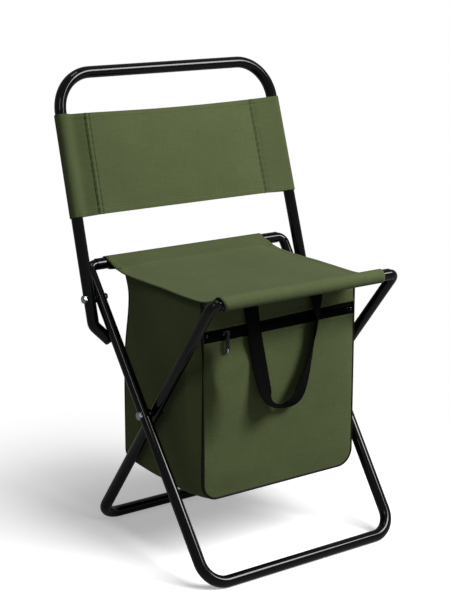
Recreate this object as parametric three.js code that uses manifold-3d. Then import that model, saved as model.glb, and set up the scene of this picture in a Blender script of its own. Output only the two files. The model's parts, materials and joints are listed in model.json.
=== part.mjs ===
// Folding cooler stool: a scissor frame of bent steel tube, a backrest that folds forward and leans on
// hooked tube ends, and a cloth seat with a zipped insulated bag sewn under it.
// Millimetres, +Z up, front facing -Y, origin on the floor under the middle of the stool.
import * as THREE from "three";
import { mergeVertices } from "three/addons/utils/BufferGeometryUtils.js";
import Module from "manifold-3d";

const wasm = await Module();
wasm.setup();

// Steel tube
const TUBE_DIAMETER = 16;
const TUBE_WALL = 1;
const TUBE_SIDES = 16;
const BEND_STEP = Math.PI / 12;
const ARC_STEP = Math.PI / 8;
const SWAGE_CLEARANCE = 0.4;
const PLUG_LENGTH = 36;

// Leg frames, measured between tube axes
const SEAT_DEPTH = 262.6;
const FRONT_BAR_HEIGHT = 378;
const REAR_BAR_HEIGHT = 383.7;
const FRONT_FLOOR_REACH = 0.3;
const REAR_FLOOR_REACH = 27.9;
const OUTER_SEAT_WIDTH = 334;
const OUTER_FLOOR_WIDTH = 316.4;
const INNER_TAPER = 23.2;
const SEAT_BEND = 10;
const FLOOR_BEND = 33;
const BAR_END_GAP = 1;

// Backrest frame
const BACKREST_BOLT_DROP = 47.2;
const BACKREST_LEAN = 16.3;
const BACKREST_HEIGHT = 304;
const BACKREST_TAPER = 10.6;
const BACKREST_BEND = 54;
const HOOK_ANGLE = 42;
const HOOK_BEND = 12;
const HOOK_TIP = 25;
const STOP_GAP = 1.2;
const PLUG_CAP = 2;
const PLUG_DEPTH = 12;

// Bolts, nuts and washers
const BOLT_DIAMETER = 6;
const BOLT_CLEARANCE = 0.2;
const HEAD_ACROSS = 10;
const HEAD_HEIGHT = 4;
const NUT_HEIGHT = 5;
const BOLT_TIP = 1;
const WASHER_DIAMETER = 14;
const WASHER_THICKNESS = 0.8;
const SEATING_GAP = 0.2;

// Cloth
const CLOTH = 1.2;
const SLEEVE_CLEARANCE = 0.4;
const SEAM_GAP = 0.3;
const SLEEVE_END_GAP = 4;
const SEAT_OVERHANG = 3;
const SEAT_SAG = 14.8;
const SEAT_STEPS = 12;
const BACK_CLOTH_BELOW_BEND = 1;
const BACK_CLOTH_HEIGHT = 139.5;
const BACK_SLEEVE_WIDTH = 36;

// Cooler bag
const BAG_SIDE_GAP = 2.9;
const BAG_SETBACK = 53.8;
const BAG_REAR_SETBACK = 21.8;
const BAG_HEIGHT_OFF_FLOOR = 98;
const BAG_CORNER = 24;
const PIPING_DIAMETER = 4;
const PIPING_SIDES = 8;
const INSULATION = 4;
const LID_INSULATION = 3;

// Zip
const ZIP_BELOW_SEAT = 52.2;
const ZIP_END_GAP = 1.7;
const ZIP_VISIBLE = 12.6;
const TAPE_THICKNESS = 0.8;
const COIL_WIDTH = 5.2;
const COIL_PROUD = 1.2;
const ZIP_STOP_LENGTH = 3;
const SLIDER_FROM_LEFT = 31;
const SLIDER_LENGTH = 11;
const SLIDER_WIDTH = 8.4;
const SLIDER_NECK = 5.6;
const SLIDER_PLATE = 1.4;
const BRIDGE_LENGTH = 7.4;
const BRIDGE_RISE = 2.8;
const BRIDGE_WIRE = 1.2;
const PULL_LENGTH = 26;
const PULL_WIDTH = 5.6;
const PULL_THICKNESS = 1.6;
const PULL_EYE_BORE = 2.2;
const PULL_EYE_WALL = 0.7;
const PULL_EYE_LENGTH = 3.4;

// Carry handle of webbing, sewn on under the seat
const WEBBING_WIDTH = 25;
const WEBBING_THICKNESS = 1.8;
const HANDLE_SPACING = 108;
const HANDLE_BELOW_SEAT = 10.5;
const HANDLE_DROP = 148;
const HANDLE_STAND_OFF = 28;
const HANDLE_FLARE = 0.7;
const HANDLE_STEPS = 28;

// Worked out from the driving dimensions, with the front seat bar's axis at y = 0
const tubeRadius = TUBE_DIAMETER / 2;
const swagedRadius = tubeRadius - TUBE_WALL - SWAGE_CLEARANCE;
const floorAxis = tubeRadius * Math.cos(Math.PI / TUBE_SIDES);
const frontBar = new THREE.Vector2(0, FRONT_BAR_HEIGHT);
const rearBar = new THREE.Vector2(SEAT_DEPTH, REAR_BAR_HEIGHT);
const frontFloor = new THREE.Vector2(-FRONT_FLOOR_REACH, floorAxis);
const rearFloor = new THREE.Vector2(SEAT_DEPTH + REAR_FLOOR_REACH, floorAxis);
const outerLeg = rearBar.clone().sub(frontFloor);
const innerLeg = frontBar.clone().sub(rearFloor);
const floorSpan = rearFloor.clone().sub(frontFloor);
const pivotOnOuter = (floorSpan.cross(innerLeg) / outerLeg.cross(innerLeg)) * outerLeg.length();
const pivotOnInner = (floorSpan.cross(outerLeg) / outerLeg.cross(innerLeg)) * innerLeg.length();
const tubeSpacing = TUBE_DIAMETER + WASHER_THICKNESS + 2 * SEATING_GAP;
const outerHalfAt = (along) =>
  THREE.MathUtils.lerp(OUTER_FLOOR_WIDTH, OUTER_SEAT_WIDTH, along / outerLeg.length()) / 2;
const innerPivotHalf = outerHalfAt(pivotOnOuter) - tubeSpacing;
const innerHalfAt = (along) =>
  innerPivotHalf + ((along - pivotOnInner) / innerLeg.length()) * (INNER_TAPER / 2);
const boltOnOuter = outerLeg.length() - BACKREST_BOLT_DROP;
const backrestBolt = frontFloor.clone().addScaledVector(outerLeg, boltOnOuter / outerLeg.length());
const backrestBoltHalf = outerHalfAt(boltOnOuter) + tubeSpacing;
const backrestHalfAt = (along) => backrestBoltHalf - ((along / BACKREST_HEIGHT) * BACKREST_TAPER) / 2;
const backrestTilt = Math.PI / 2 - THREE.MathUtils.degToRad(BACKREST_LEAN);
const backClothTop = BACKREST_HEIGHT - BACKREST_BEND - BACK_CLOTH_BELOW_BEND;
const sleeveInside = tubeRadius + SLEEVE_CLEARANCE;
const sleeveOutside = sleeveInside + CLOTH;
const seatBarHalf = (seatHalf) => seatHalf - SEAT_BEND - BAR_END_GAP;
const outerSeatHalf = OUTER_SEAT_WIDTH / 2;
const innerSeatHalf = innerHalfAt(innerLeg.length());
const sleeveHalf = seatBarHalf(Math.min(outerSeatHalf, innerSeatHalf)) - SLEEVE_END_GAP;
const seatHalf = sleeveHalf + SEAT_OVERHANG;
const boltTipFrom = (half) => half - tubeRadius - SEATING_GAP - NUT_HEIGHT - BOLT_TIP;
const bagHalf = boltTipFrom(innerPivotHalf) - BAG_SIDE_GAP;
const bagFace = BAG_SETBACK;
const bagDepth = SEAT_DEPTH - BAG_SETBACK - BAG_REAR_SETBACK;
const sides = { left: -1, right: 1 };

// Finishes
const finish = (color, roughness, metalness) =>
  new THREE.MeshStandardMaterial({ color, roughness, metalness });
const blackPowderCoat = () => finish(0x141416, 0.3, 0.4);
const zincPlate = () => finish(0xb4b8ba, 0.35, 0.9);
const oliveCloth = () => finish(0x4a5536, 0.85, 0);
const blackCloth = () => finish(0x121313, 0.8, 0);
const blackPlastic = () => finish(0x1b1b1c, 0.5, 0);
const foilFoam = () => finish(0xc4c8ca, 0.4, 0.5);
const blackenedMetal = () => finish(0x2a2b2d, 0.4, 0.7);

// Turns a closed surface inside out if its faces point inwards.
function facingOut(geometry) {
  const p = geometry.attributes.position;
  const index = geometry.index.array;
  const corner = (i) => new THREE.Vector3().fromBufferAttribute(p, index[i]);
  let volume = 0;
  for (let i = 0; i < index.length; i += 3) volume += corner(i).cross(corner(i + 1)).dot(corner(i + 2));
  if (volume < 0) geometry.setIndex([...index].reverse());
  return geometry;
}

// A closed surface through rings of points: capped at both ends, or joined from the last to the first.
function loft(rings, closed = false) {
  const count = rings[0].length;
  const positions = rings.flat().flatMap((point) => point.toArray());
  const faces = [];
  const quad = (a, b, c, d) => faces.push(a, b, c, a, c, d);
  rings.forEach((_, i) => {
    if (!closed && i + 1 === rings.length) return;
    const here = i * count;
    const next = ((i + 1) % rings.length) * count;
    for (let j = 0; j < count; j++) {
      const k = (j + 1) % count;
      quad(here + j, here + k, next + k, next + j);
    }
  });
  const end = (rings.length - 1) * count;
  for (let j = 0; !closed && j + 1 < count / 2; j++) {
    const k = count - 1 - j;
    quad(j, k, k - 1, j + 1);
    quad(end + j, end + j + 1, end + k - 1, end + k);
  }
  const geometry = new THREE.BufferGeometry();
  geometry.setAttribute("position", new THREE.Float32BufferAttribute(positions, 3));
  geometry.setIndex(faces);
  return facingOut(geometry);
}

// Booleans
function solidOf(geometry) {
  const bare = geometry.clone();
  bare.deleteAttribute("normal");
  bare.deleteAttribute("uv");
  const merged = mergeVertices(bare, 1e-3);
  const triVerts = new Uint32Array(merged.index.array);
  const vertProperties = merged.attributes.position.array;
  return new wasm.Manifold(new wasm.Mesh({ numProp: 3, vertProperties, triVerts }));
}

function geometryOf(solid) {
  const { vertProperties, triVerts } = solid.getMesh();
  const geometry = new THREE.BufferGeometry();
  geometry.setAttribute("position", new THREE.Float32BufferAttribute(vertProperties, 3));
  return geometry.setIndex([...triVerts]);
}

const cut = (body, ...tools) =>
  geometryOf(tools.reduce((solid, tool) => solid.subtract(solidOf(tool)), solidOf(body)));
const join = (first, ...others) =>
  geometryOf(others.reduce((solid, other) => solid.add(solidOf(other)), solidOf(first)));

// Points round an arc, both ends included, and round a whole circle.
function arc(x, y, radius, from, to) {
  const steps = Math.ceil(Math.abs(to - from) / ARC_STEP);
  return Array.from({ length: steps + 1 }, (_, i) => {
    const angle = THREE.MathUtils.lerp(from, to, i / steps);
    return new THREE.Vector2(x + radius * Math.cos(angle), y + radius * Math.sin(angle));
  });
}

const circle = (x, y, radius) => arc(x, y, radius, 0, 2 * Math.PI).slice(1);
const spot = (x, y) => new THREE.Vector2(x, y);

// A flat outline with holes, made thick along +Z.
function extruded(outline, depth, ...holes) {
  const shape = new THREE.Shape(outline);
  shape.holes = holes.map((hole) => new THREE.Path(hole));
  return new THREE.ExtrudeGeometry(shape, { depth, bevelEnabled: false });
}

// Stops along a flat route in the XY plane, with an arc at each inner corner given as [x, y, bend radius].
function route(corners) {
  const stops = [];
  const add = (point, direction) => {
    const last = stops.at(-1);
    const along = last ? last.along + point.distanceTo(last.point) : 0;
    stops.push({ point, direction, along });
  };
  const points = corners.map(([x, y]) => new THREE.Vector2(x, y));
  points.forEach((here, i) => {
    const before = i > 0 && here.clone().sub(points[i - 1]).normalize();
    const after = i + 1 < points.length && points[i + 1].clone().sub(here).normalize();
    if (!before || !after) return add(here, before || after);
    const turn = Math.atan2(before.cross(after), before.dot(after));
    const bend = corners[i][2];
    const start = here.clone().addScaledVector(before, -bend * Math.tan(Math.abs(turn) / 2));
    const towards = new THREE.Vector2(-before.y, before.x).multiplyScalar(Math.sign(turn) * bend);
    const centre = start.clone().add(towards);
    const steps = Math.ceil(Math.abs(turn) / BEND_STEP);
    for (let s = 0; s <= steps; s++) {
      const angle = (turn * s) / steps;
      const direction = before.clone().rotateAround(new THREE.Vector2(), angle);
      add(start.clone().rotateAround(centre, angle), direction);
    }
  });
  return stops;
}

// One ring of a round section at a stop, with its first flat turned by phase.
function ringAt({ point, direction }, radius, count, phase = 0) {
  return Array.from({ length: count }, (_, k) => {
    const angle = phase + ((k + 0.5) * 2 * Math.PI) / count;
    const across = Math.cos(angle) * radius;
    const x = point.x - direction.y * across;
    const y = point.y + direction.x * across;
    return new THREE.Vector3(x, y, Math.sin(angle) * radius);
  });
}

// Steel tube along a route, open at both ends. radiusAt gives its outside radius at a stop.
function steelTube(stops, phase, radiusAt) {
  const outside = stops.map((stop) => ringAt(stop, radiusAt(stop), TUBE_SIDES, phase));
  const bore = stops.map((stop) => ringAt(stop, radiusAt(stop) - TUBE_WALL, TUBE_SIDES, phase));
  return loft([...outside, ...bore.reverse()], true);
}

// A round bar across the stool, along X through a point of the YZ plane.
function crossBar(radius, length, y = 0, z = 0) {
  const bar = new THREE.CylinderGeometry(radius, radius, length, TUBE_SIDES);
  return bar.rotateY(Math.PI / TUBE_SIDES).rotateZ(Math.PI / 2).translate(0, y, z);
}

const stool = new THREE.Group();

function place(name, geometry, material, group = stool) {
  const mesh = new THREE.Mesh(geometry, material);
  mesh.name = name;
  group.add(mesh);
  return mesh;
}

// A group whose +Y runs along a direction of the YZ plane.
function leaning(origin, tilt) {
  const group = new THREE.Group();
  group.position.set(0, origin.x, origin.y);
  group.rotation.x = tilt;
  stool.add(group);
  return group;
}

// Leg frames: one tube each, swaged where its ends plug into a straight seat bar.
function legTube(length, floorHalf, seatHalf, tilt, holes) {
  const plug = seatBarHalf(seatHalf) - PLUG_LENGTH;
  const half = [
    [plug, length],
    [seatHalf, length, SEAT_BEND],
    [floorHalf, 0, FLOOR_BEND],
  ];
  const mirrored = half.toReversed().map(([x, y, bend]) => [-x, y, bend]);
  const stops = route([...half, ...mirrored]);
  const total = stops.at(-1).along;
  const neckEnd = PLUG_LENGTH + BAR_END_GAP;
  const neckStart = neckEnd + (SEAT_BEND * Math.PI) / 2;
  const radiusAt = ({ along }) => {
    const fromEnd = Math.min(along, total - along);
    const share = THREE.MathUtils.clamp((fromEnd - neckEnd) / (neckStart - neckEnd), 0, 1);
    return THREE.MathUtils.lerp(swagedRadius, tubeRadius, share);
  };
  const flatDown = Math.atan2(Math.cos(tilt), -Math.sin(tilt));
  const boltHole = BOLT_DIAMETER / 2 + BOLT_CLEARANCE;
  const drills = holes.map((along) => crossBar(boltHole, 2 * (seatHalf + TUBE_DIAMETER), along));
  return cut(steelTube(stops, flatDown, radiusAt), ...drills);
}

function seatBar(seatHalf, along) {
  const half = seatBarHalf(seatHalf);
  const stops = [half, -half].map((x) => ({
    point: new THREE.Vector2(x, along),
    direction: new THREE.Vector2(-1, 0),
  }));
  return steelTube(stops, 0, () => tubeRadius);
}

const outerTilt = outerLeg.angle();
const innerTilt = innerLeg.angle();
const outerFrame = leaning(frontFloor, outerTilt);
const innerFrame = leaning(rearFloor, innerTilt);
const outerHoles = [pivotOnOuter, boltOnOuter];
place(
  "outer_leg_frame",
  legTube(outerLeg.length(), OUTER_FLOOR_WIDTH / 2, outerSeatHalf, outerTilt, outerHoles),
  blackPowderCoat(),
  outerFrame,
);
place(
  "inner_leg_frame",
  legTube(innerLeg.length(), innerHalfAt(0), innerSeatHalf, innerTilt, [pivotOnInner]),
  blackPowderCoat(),
  innerFrame,
);
place("rear_seat_bar", seatBar(outerSeatHalf, outerLeg.length()), blackPowderCoat(), outerFrame);
place("front_seat_bar", seatBar(innerSeatHalf, innerLeg.length()), blackPowderCoat(), innerFrame);

// Backrest frame: its tube turns in below the bolts and stops against the back of the outer legs.
const hookTurn = THREE.MathUtils.degToRad(HOOK_ANGLE);

function backrestRoute(straight) {
  const turnIn = straight + HOOK_BEND * Math.tan(hookTurn / 2);
  const knee = backrestHalfAt(-turnIn);
  const shank = HOOK_TIP + HOOK_BEND * Math.tan(hookTurn / 2);
  const half = [
    [knee - Math.sin(hookTurn) * shank, -turnIn - Math.cos(hookTurn) * shank],
    [knee, -turnIn, HOOK_BEND],
    [backrestHalfAt(BACKREST_HEIGHT), BACKREST_HEIGHT, BACKREST_BEND],
  ];
  const mirrored = half.toReversed().map(([x, y, bend]) => [-x, y, bend]);
  return route([...half, ...mirrored]);
}

// Least distance from the hook's axis to the outer leg's axis, both seen from the backrest.
function hookToLeg(straight) {
  const spread = backrestTilt - outerTilt;
  const legTaper = (OUTER_SEAT_WIDTH - OUTER_FLOOR_WIDTH) / 2 / outerLeg.length();
  const legAtBolt = new THREE.Vector3(outerHalfAt(boltOnOuter), 0, 0);
  const downLeg = new THREE.Vector3(-legTaper, -Math.cos(spread), Math.sin(spread)).normalize();
  const leg = new THREE.Ray(legAtBolt, downLeg);
  const hook = backrestRoute(straight).filter(({ point }) => point.x > 0 && point.y <= 0);
  const distances = hook.flatMap(({ point }, i) => {
    const next = hook[i + 1]?.point ?? point;
    return [0, 0.25, 0.5, 0.75].map((share) => {
      const sample = point.clone().lerp(next, share);
      return leg.distanceToPoint(new THREE.Vector3(sample.x, sample.y, 0));
    });
  });
  return Math.min(...distances);
}

// The straight stretch below the bolt is as short as the stop allows.
function straightBelowBolt() {
  let [low, high] = [0, BACKREST_HEIGHT];
  while (high - low > 0.01) {
    const middle = (low + high) / 2;
    if (hookToLeg(middle) < TUBE_DIAMETER + STOP_GAP) low = middle;
    else high = middle;
  }
  return high;
}

const backrest = leaning(backrestBolt, backrestTilt);
const backrestStops = backrestRoute(straightBelowBolt());
const boltHole = crossBar(BOLT_DIAMETER / 2 + BOLT_CLEARANCE, 2 * backrestBoltHalf + 4 * TUBE_DIAMETER);
const backrestTube = cut(steelTube(backrestStops, 0, () => tubeRadius), boltHole);
place("backrest_frame", backrestTube, blackPowderCoat(), backrest);

// A moulded plug closes each hooked end: a stem in the bore under a flat cap.
for (const [side, end] of [["right", backrestStops[0]], ["left", backrestStops.at(-1)]]) {
  const stem = tubeRadius - TUBE_WALL - SEAM_GAP;
  const rim = PLUG_CAP + SEATING_GAP;
  const profile = [
    [0, SEATING_GAP],
    [tubeRadius - PLUG_CAP / 2, SEATING_GAP],
    [tubeRadius, SEATING_GAP + PLUG_CAP / 2],
    [tubeRadius, rim],
    [stem, rim],
    [stem, rim + PLUG_DEPTH],
    [0, rim + PLUG_DEPTH],
  ].map(([r, y]) => new THREE.Vector2(r, y - 2 * rim + SEATING_GAP));
  const turned = new THREE.LatheGeometry(profile, TUBE_SIDES);
  const plug = place(`hook_plug_${side}`, turned, blackPlastic(), backrest);
  const intoTube = side === "right" ? end.direction : end.direction.clone().negate();
  plug.position.set(end.point.x, end.point.y, 0);
  plug.rotation.z = Math.atan2(intoTube.y, intoTube.x) - Math.PI / 2;
}

// Bolts run outwards along X from a nut inside the inner tube to a hex head outside the outer one.
function hexagon(height) {
  return new THREE.CylinderGeometry(HEAD_ACROSS / Math.sqrt(3), HEAD_ACROSS / Math.sqrt(3), height, 6);
}

function boltThrough(name, side, along, insideHalf, outsideHalf) {
  const headSeat = outsideHalf + tubeRadius + SEATING_GAP;
  const tip = boltTipFrom(insideHalf);
  const nutSeat = tip + BOLT_TIP + NUT_HEIGHT;
  const shankRadius = BOLT_DIAMETER / 2;
  const shankLength = headSeat + HEAD_HEIGHT / 2 - tip;
  const shank = new THREE.CylinderGeometry(shankRadius, shankRadius, shankLength, TUBE_SIDES);
  shank.translate(0, tip + shankLength / 2, 0);
  const head = hexagon(HEAD_HEIGHT).translate(0, headSeat + HEAD_HEIGHT / 2, 0);
  const nutBore = new THREE.CylinderGeometry(
    shankRadius + BOLT_CLEARANCE, shankRadius + BOLT_CLEARANCE, 2 * NUT_HEIGHT, TUBE_SIDES);
  const nut = cut(hexagon(NUT_HEIGHT), nutBore).translate(0, nutSeat - NUT_HEIGHT / 2, 0);
  const washerInside = outsideHalf - tubeRadius - SEATING_GAP - WASHER_THICKNESS;
  const washerBore = shankRadius + BOLT_CLEARANCE;
  const washerProfile = [
    [washerBore, 0],
    [WASHER_DIAMETER / 2, 0],
    [WASHER_DIAMETER / 2, WASHER_THICKNESS],
    [washerBore, WASHER_THICKNESS],
    [washerBore, 0],
  ].map(([r, y]) => new THREE.Vector2(r, washerInside + y));
  const pieces = {
    bolt: [join(shank, head), zincPlate()],
    nut: [nut, blackenedMetal()],
    washer: [new THREE.LatheGeometry(washerProfile, TUBE_SIDES), blackPlastic()],
  };
  for (const [piece, [geometry, material]] of Object.entries(pieces)) {
    const mesh = place(`${name}_${piece}_${side}`, geometry, material, outerFrame);
    mesh.position.y = along;
    mesh.rotation.z = (-sides[side] * Math.PI) / 2;
  }
}

for (const side of Object.keys(sides)) {
  boltThrough("leg_pivot", side, pivotOnOuter, innerPivotHalf, outerHalfAt(pivotOnOuter));
  boltThrough("backrest", side, boltOnOuter, outerHalfAt(boltOnOuter), backrestBoltHalf);
}

// Backrest cloth: one panel over the front of the tubes, turned round each of them and sewn behind.
function backrestCloth() {
  const half = backrestHalfAt(backClothTop);
  const seam = spot(half - BACK_SLEEVE_WIDTH, sleeveInside);
  const apex = spot(seam.x + 2 * CLOTH, sleeveInside - CLOTH / 4);
  const quarter = Math.PI / 2;
  const leavesTube = ({ x, y }, radius) => {
    const fromAxis = spot(x - half, y);
    return fromAxis.angle() + Math.acos(radius / fromAxis.length()) - 4 * quarter;
  };
  const mirrored = (points) => points.map(({ x, y }) => spot(-x, y)).reverse();
  const rightEdge = [...arc(half, 0, sleeveOutside, quarter, leavesTube(seam, sleeveOutside)), seam];
  const rightSleeve = [apex, ...arc(half, 0, sleeveInside, leavesTube(apex, sleeveInside), quarter)];
  const outline = [...rightEdge, ...mirrored(rightEdge)];
  const leftSleeve = mirrored(rightSleeve);
  const cloth = extruded(outline, BACK_CLOTH_HEIGHT, rightSleeve, leftSleeve).rotateX(quarter);
  cloth.translate(0, backClothTop, 0);
  const p = cloth.attributes.position;
  for (let i = 0; i < p.count; i++) p.setX(i, (p.getX(i) * backrestHalfAt(p.getY(i))) / half);
  return cloth;
}

place("backrest_cloth", backrestCloth(), oliveCloth(), backrest);

// Seat cloth: a sagging panel between sleeves on the two seat bars.
const leave = Math.atan((8 * SEAT_SAG) / SEAT_DEPTH);
const sleeveMiddle = (sleeveInside + sleeveOutside) / 2;
const offBar = new THREE.Vector2(Math.sin(leave), Math.cos(leave)).multiplyScalar(sleeveMiddle);
const sagStart = frontBar.clone().add(offBar);
const sagEnd = new THREE.Vector2(rearBar.x - offBar.x, rearBar.y + offBar.y);

function sagAt(y) {
  const share = (y - sagStart.x) / (sagEnd.x - sagStart.x);
  const straight = THREE.MathUtils.lerp(sagStart.y, sagEnd.y, share);
  return straight - SEAT_SAG * (1 - (2 * share - 1) ** 4);
}

// A layer that follows the sag, between two heights from the middle of the seat cloth.
function seatLayer(half, low, high, from = sagStart.x, to = sagEnd.x) {
  const across = (x) => {
    const edge = (lift) =>
      Array.from({ length: SEAT_STEPS + 1 }, (_, i) => {
        const y = THREE.MathUtils.lerp(from, to, i / SEAT_STEPS);
        return new THREE.Vector3(x, y, sagAt(y) + lift);
      });
    return [...edge(high), ...edge(low).reverse()];
  };
  return loft([across(-half), across(half)]);
}

function clothSleeve(bar) {
  const sleeve = extruded(circle(0, 0, sleeveOutside), 2 * sleeveHalf, circle(0, 0, sleeveInside));
  return sleeve.rotateY(Math.PI / 2).translate(-sleeveHalf, bar.x, bar.y);
}

const clearOfFrontSleeve = crossBar(sleeveOutside + SEAM_GAP, 4 * seatHalf, frontBar.x, frontBar.y);
const seatPanel = cut(seatLayer(seatHalf, -CLOTH / 2, CLOTH / 2), clearOfFrontSleeve);
place("seat_cloth", join(seatPanel, clothSleeve(rearBar)), oliveCloth());
place("seat_front_sleeve", clothSleeve(frontBar), oliveCloth());

// Cooler bag, in a frame with x across, y up and z forward from the face of its front panel.
const bag = new THREE.Group();
bag.position.y = bagFace;
bag.rotation.x = Math.PI / 2;
stool.add(bag);
const inBag = (geometry) => geometry.translate(0, -bagFace, 0).rotateX(-Math.PI / 2);
const bagTop = REAR_BAR_HEIGHT + TUBE_DIAMETER;
const underCloth = -CLOTH / 2 - SEAM_GAP;
const underLid = underCloth - LID_INSULATION - SEAM_GAP;
const spaceOver = (low) => inBag(seatLayer(2 * bagHalf, low, bagTop));

// The bag's outline inset from the outside, going down on the left and up on the right.
function bagU(inset, top) {
  const half = bagHalf - inset;
  const low = BAG_HEIGHT_OFF_FLOOR + inset;
  const corner = BAG_CORNER - inset;
  return [
    spot(-half, top),
    ...arc(-half + corner, low + corner, corner, Math.PI, 1.5 * Math.PI),
    ...arc(half - corner, low + corner, corner, 1.5 * Math.PI, 2 * Math.PI),
    spot(half, top),
  ];
}

const layer = (outline, from, to) => extruded(outline, from - to).translate(0, 0, to);
const bagPanel = (inset, top, from, to) => layer(bagU(inset, top), from, to);
const bagStrip = (inset, thickness, top, from, to) =>
  layer([...bagU(inset, top), ...bagU(inset + thickness, top).reverse()], from, to);

function piping(from) {
  const radius = PIPING_DIAMETER / 2;
  const half = bagHalf - radius;
  const low = BAG_HEIGHT_OFF_FLOOR + radius;
  const bend = BAG_CORNER - radius;
  const stops = route([[-half, bagTop], [-half, low, bend], [half, low, bend], [half, bagTop]]);
  return loft(stops.map((stop) => ringAt(stop, radius, PIPING_SIDES))).translate(0, 0, from - radius);
}

const pipingProud = PIPING_DIAMETER / 4;
const panelInset = PIPING_DIAMETER + SEAM_GAP;
const frontPipingBack = pipingProud - PIPING_DIAMETER;
const backPanelFace = pipingProud - bagDepth + pipingProud;
const backPipingFront = pipingProud - bagDepth + PIPING_DIAMETER;
const gussetFrom = frontPipingBack - SEAM_GAP;
const gussetTo = backPipingFront + SEAM_GAP;
const frontLining = -CLOTH - SEAM_GAP;
const backLining = backPanelFace + CLOTH + SEAM_GAP;
const gussetLining = CLOTH + SEAM_GAP;
const seatOverFace = sagAt(bagFace);
const zipHeight = seatOverFace - ZIP_BELOW_SEAT;
const handleTop = seatOverFace - HANDLE_BELOW_SEAT;
const zipTop = zipHeight + ZIP_VISIBLE / 2;
const zipBottom = zipHeight - ZIP_VISIBLE / 2;

const foamFrom = frontLining - INSULATION - SEAM_GAP;
const foamTo = backLining + INSULATION + SEAM_GAP;
const backPanel = bagPanel(panelInset, bagTop, backPanelFace + CLOTH, backPanelFace);
const bagPieces = {
  bag_gusset: [bagStrip(0, CLOTH, bagTop, gussetFrom, gussetTo), underCloth, oliveCloth()],
  bag_back_panel: [backPanel, underCloth, oliveCloth()],
  front_piping: [piping(pipingProud), underCloth, blackCloth()],
  back_piping: [piping(backPipingFront), underCloth, blackCloth()],
  insulation_gusset: [
    bagStrip(gussetLining, INSULATION, bagTop, foamFrom, foamTo),
    underLid,
    foilFoam(),
  ],
  insulation_back: [bagPanel(panelInset, bagTop, backLining + INSULATION, backLining), underLid, foilFoam()],
};
for (const [name, [geometry, top, material]] of Object.entries(bagPieces))
  place(name, cut(geometry, spaceOver(top)), material, bag);

const frontPanelTop = zipBottom - SEAM_GAP;
place("bag_front_panel", bagPanel(panelInset, frontPanelTop, 0, -CLOTH), oliveCloth(), bag);
const frontFoam = bagPanel(panelInset, frontPanelTop - SEAM_GAP, frontLining, frontLining - INSULATION);
place("insulation_front", frontFoam, foilFoam(), bag);

function rectangle(half, low, high) {
  return [spot(-half, low), spot(half, low), spot(half, high), spot(-half, high)];
}

const panelHalf = bagHalf - panelInset;
const band = layer(rectangle(panelHalf, zipTop + SEAM_GAP, bagTop), 0, -CLOTH);
place("bag_zip_band", cut(band, spaceOver(underCloth)), oliveCloth(), bag);

const lidFront = bagFace - frontLining + SEAM_GAP;
const lidBack = bagFace - backLining - SEAM_GAP;
const lidLow = underCloth - LID_INSULATION;
place("insulation_lid", seatLayer(panelHalf, lidLow, underCloth, lidFront, lidBack), foilFoam());

// Zip: a tape along each edge of the opening, the closed coil between them and a stop at each end.
const coilHalf = COIL_WIDTH / 2;
const tapeLow = rectangle(panelHalf, zipBottom, zipHeight - coilHalf - SEAM_GAP);
const tapeHigh = rectangle(panelHalf, zipHeight + coilHalf + SEAM_GAP, zipTop);
place("zip_tape_lower", layer(tapeLow, 0, -TAPE_THICKNESS), blackCloth(), bag);
place("zip_tape_upper", layer(tapeHigh, 0, -TAPE_THICKNESS), blackCloth(), bag);

function crowned(length, middle) {
  const shoulder = coilHalf / 2;
  const outline = [
    spot(-coilHalf, -TAPE_THICKNESS),
    spot(coilHalf, -TAPE_THICKNESS),
    spot(coilHalf, COIL_PROUD / 2),
    spot(shoulder, COIL_PROUD),
    spot(-shoulder, COIL_PROUD),
    spot(-coilHalf, COIL_PROUD / 2),
  ];
  const strip = extruded(outline, length).rotateX(Math.PI / 2).rotateZ(Math.PI / 2);
  return strip.translate(middle - length / 2, zipHeight, 0);
}

const zipHalf = panelHalf - ZIP_END_GAP;
const coilLength = 2 * (zipHalf - ZIP_STOP_LENGTH - SEAM_GAP);
place("zip_coil", crowned(coilLength, 0), blackPlastic(), bag);
const stopMiddle = zipHalf - ZIP_STOP_LENGTH / 2;
for (const [side, sign] of Object.entries(sides))
  place(`zip_stop_${side}`, crowned(ZIP_STOP_LENGTH, sign * stopMiddle), blackenedMetal(), bag);

// The slider rides on the coil: a plate with a wide mouth and a wire bridge along its travel.
const slider = new THREE.Group();
slider.position.set(SLIDER_FROM_LEFT - zipHalf, zipHeight, COIL_PROUD + SEAM_GAP);
bag.add(slider);
const bridgeHeight = SLIDER_PLATE + BRIDGE_RISE - BRIDGE_WIRE / 2;

function sliderBody() {
  const mouth = SLIDER_WIDTH / 2;
  const tail = SLIDER_NECK / 2;
  const length = SLIDER_LENGTH / 2;
  const lowEdge = [spot(-length, -tail), spot(length / 2, -mouth), spot(length, -tail)];
  const highEdge = lowEdge.map(({ x, y }) => spot(x, -y)).reverse();
  const outside = BRIDGE_LENGTH / 2;
  const inside = outside - BRIDGE_WIRE;
  const foot = SLIDER_PLATE / 2;
  const top = SLIDER_PLATE + BRIDGE_RISE;
  const underTop = top - BRIDGE_WIRE;
  const rightHalf = [spot(outside, top), spot(outside, foot), spot(inside, foot), spot(inside, underTop)];
  const leftHalf = rightHalf.map(({ x, y }) => spot(-x, y)).reverse();
  const bridge = extruded([...rightHalf, ...leftHalf], BRIDGE_WIRE).rotateX(Math.PI / 2);
  return join(layer([...lowEdge, ...highEdge], SLIDER_PLATE, 0), bridge.translate(0, BRIDGE_WIRE / 2, 0));
}

place("zip_slider", sliderBody(), blackenedMetal(), slider);

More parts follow.
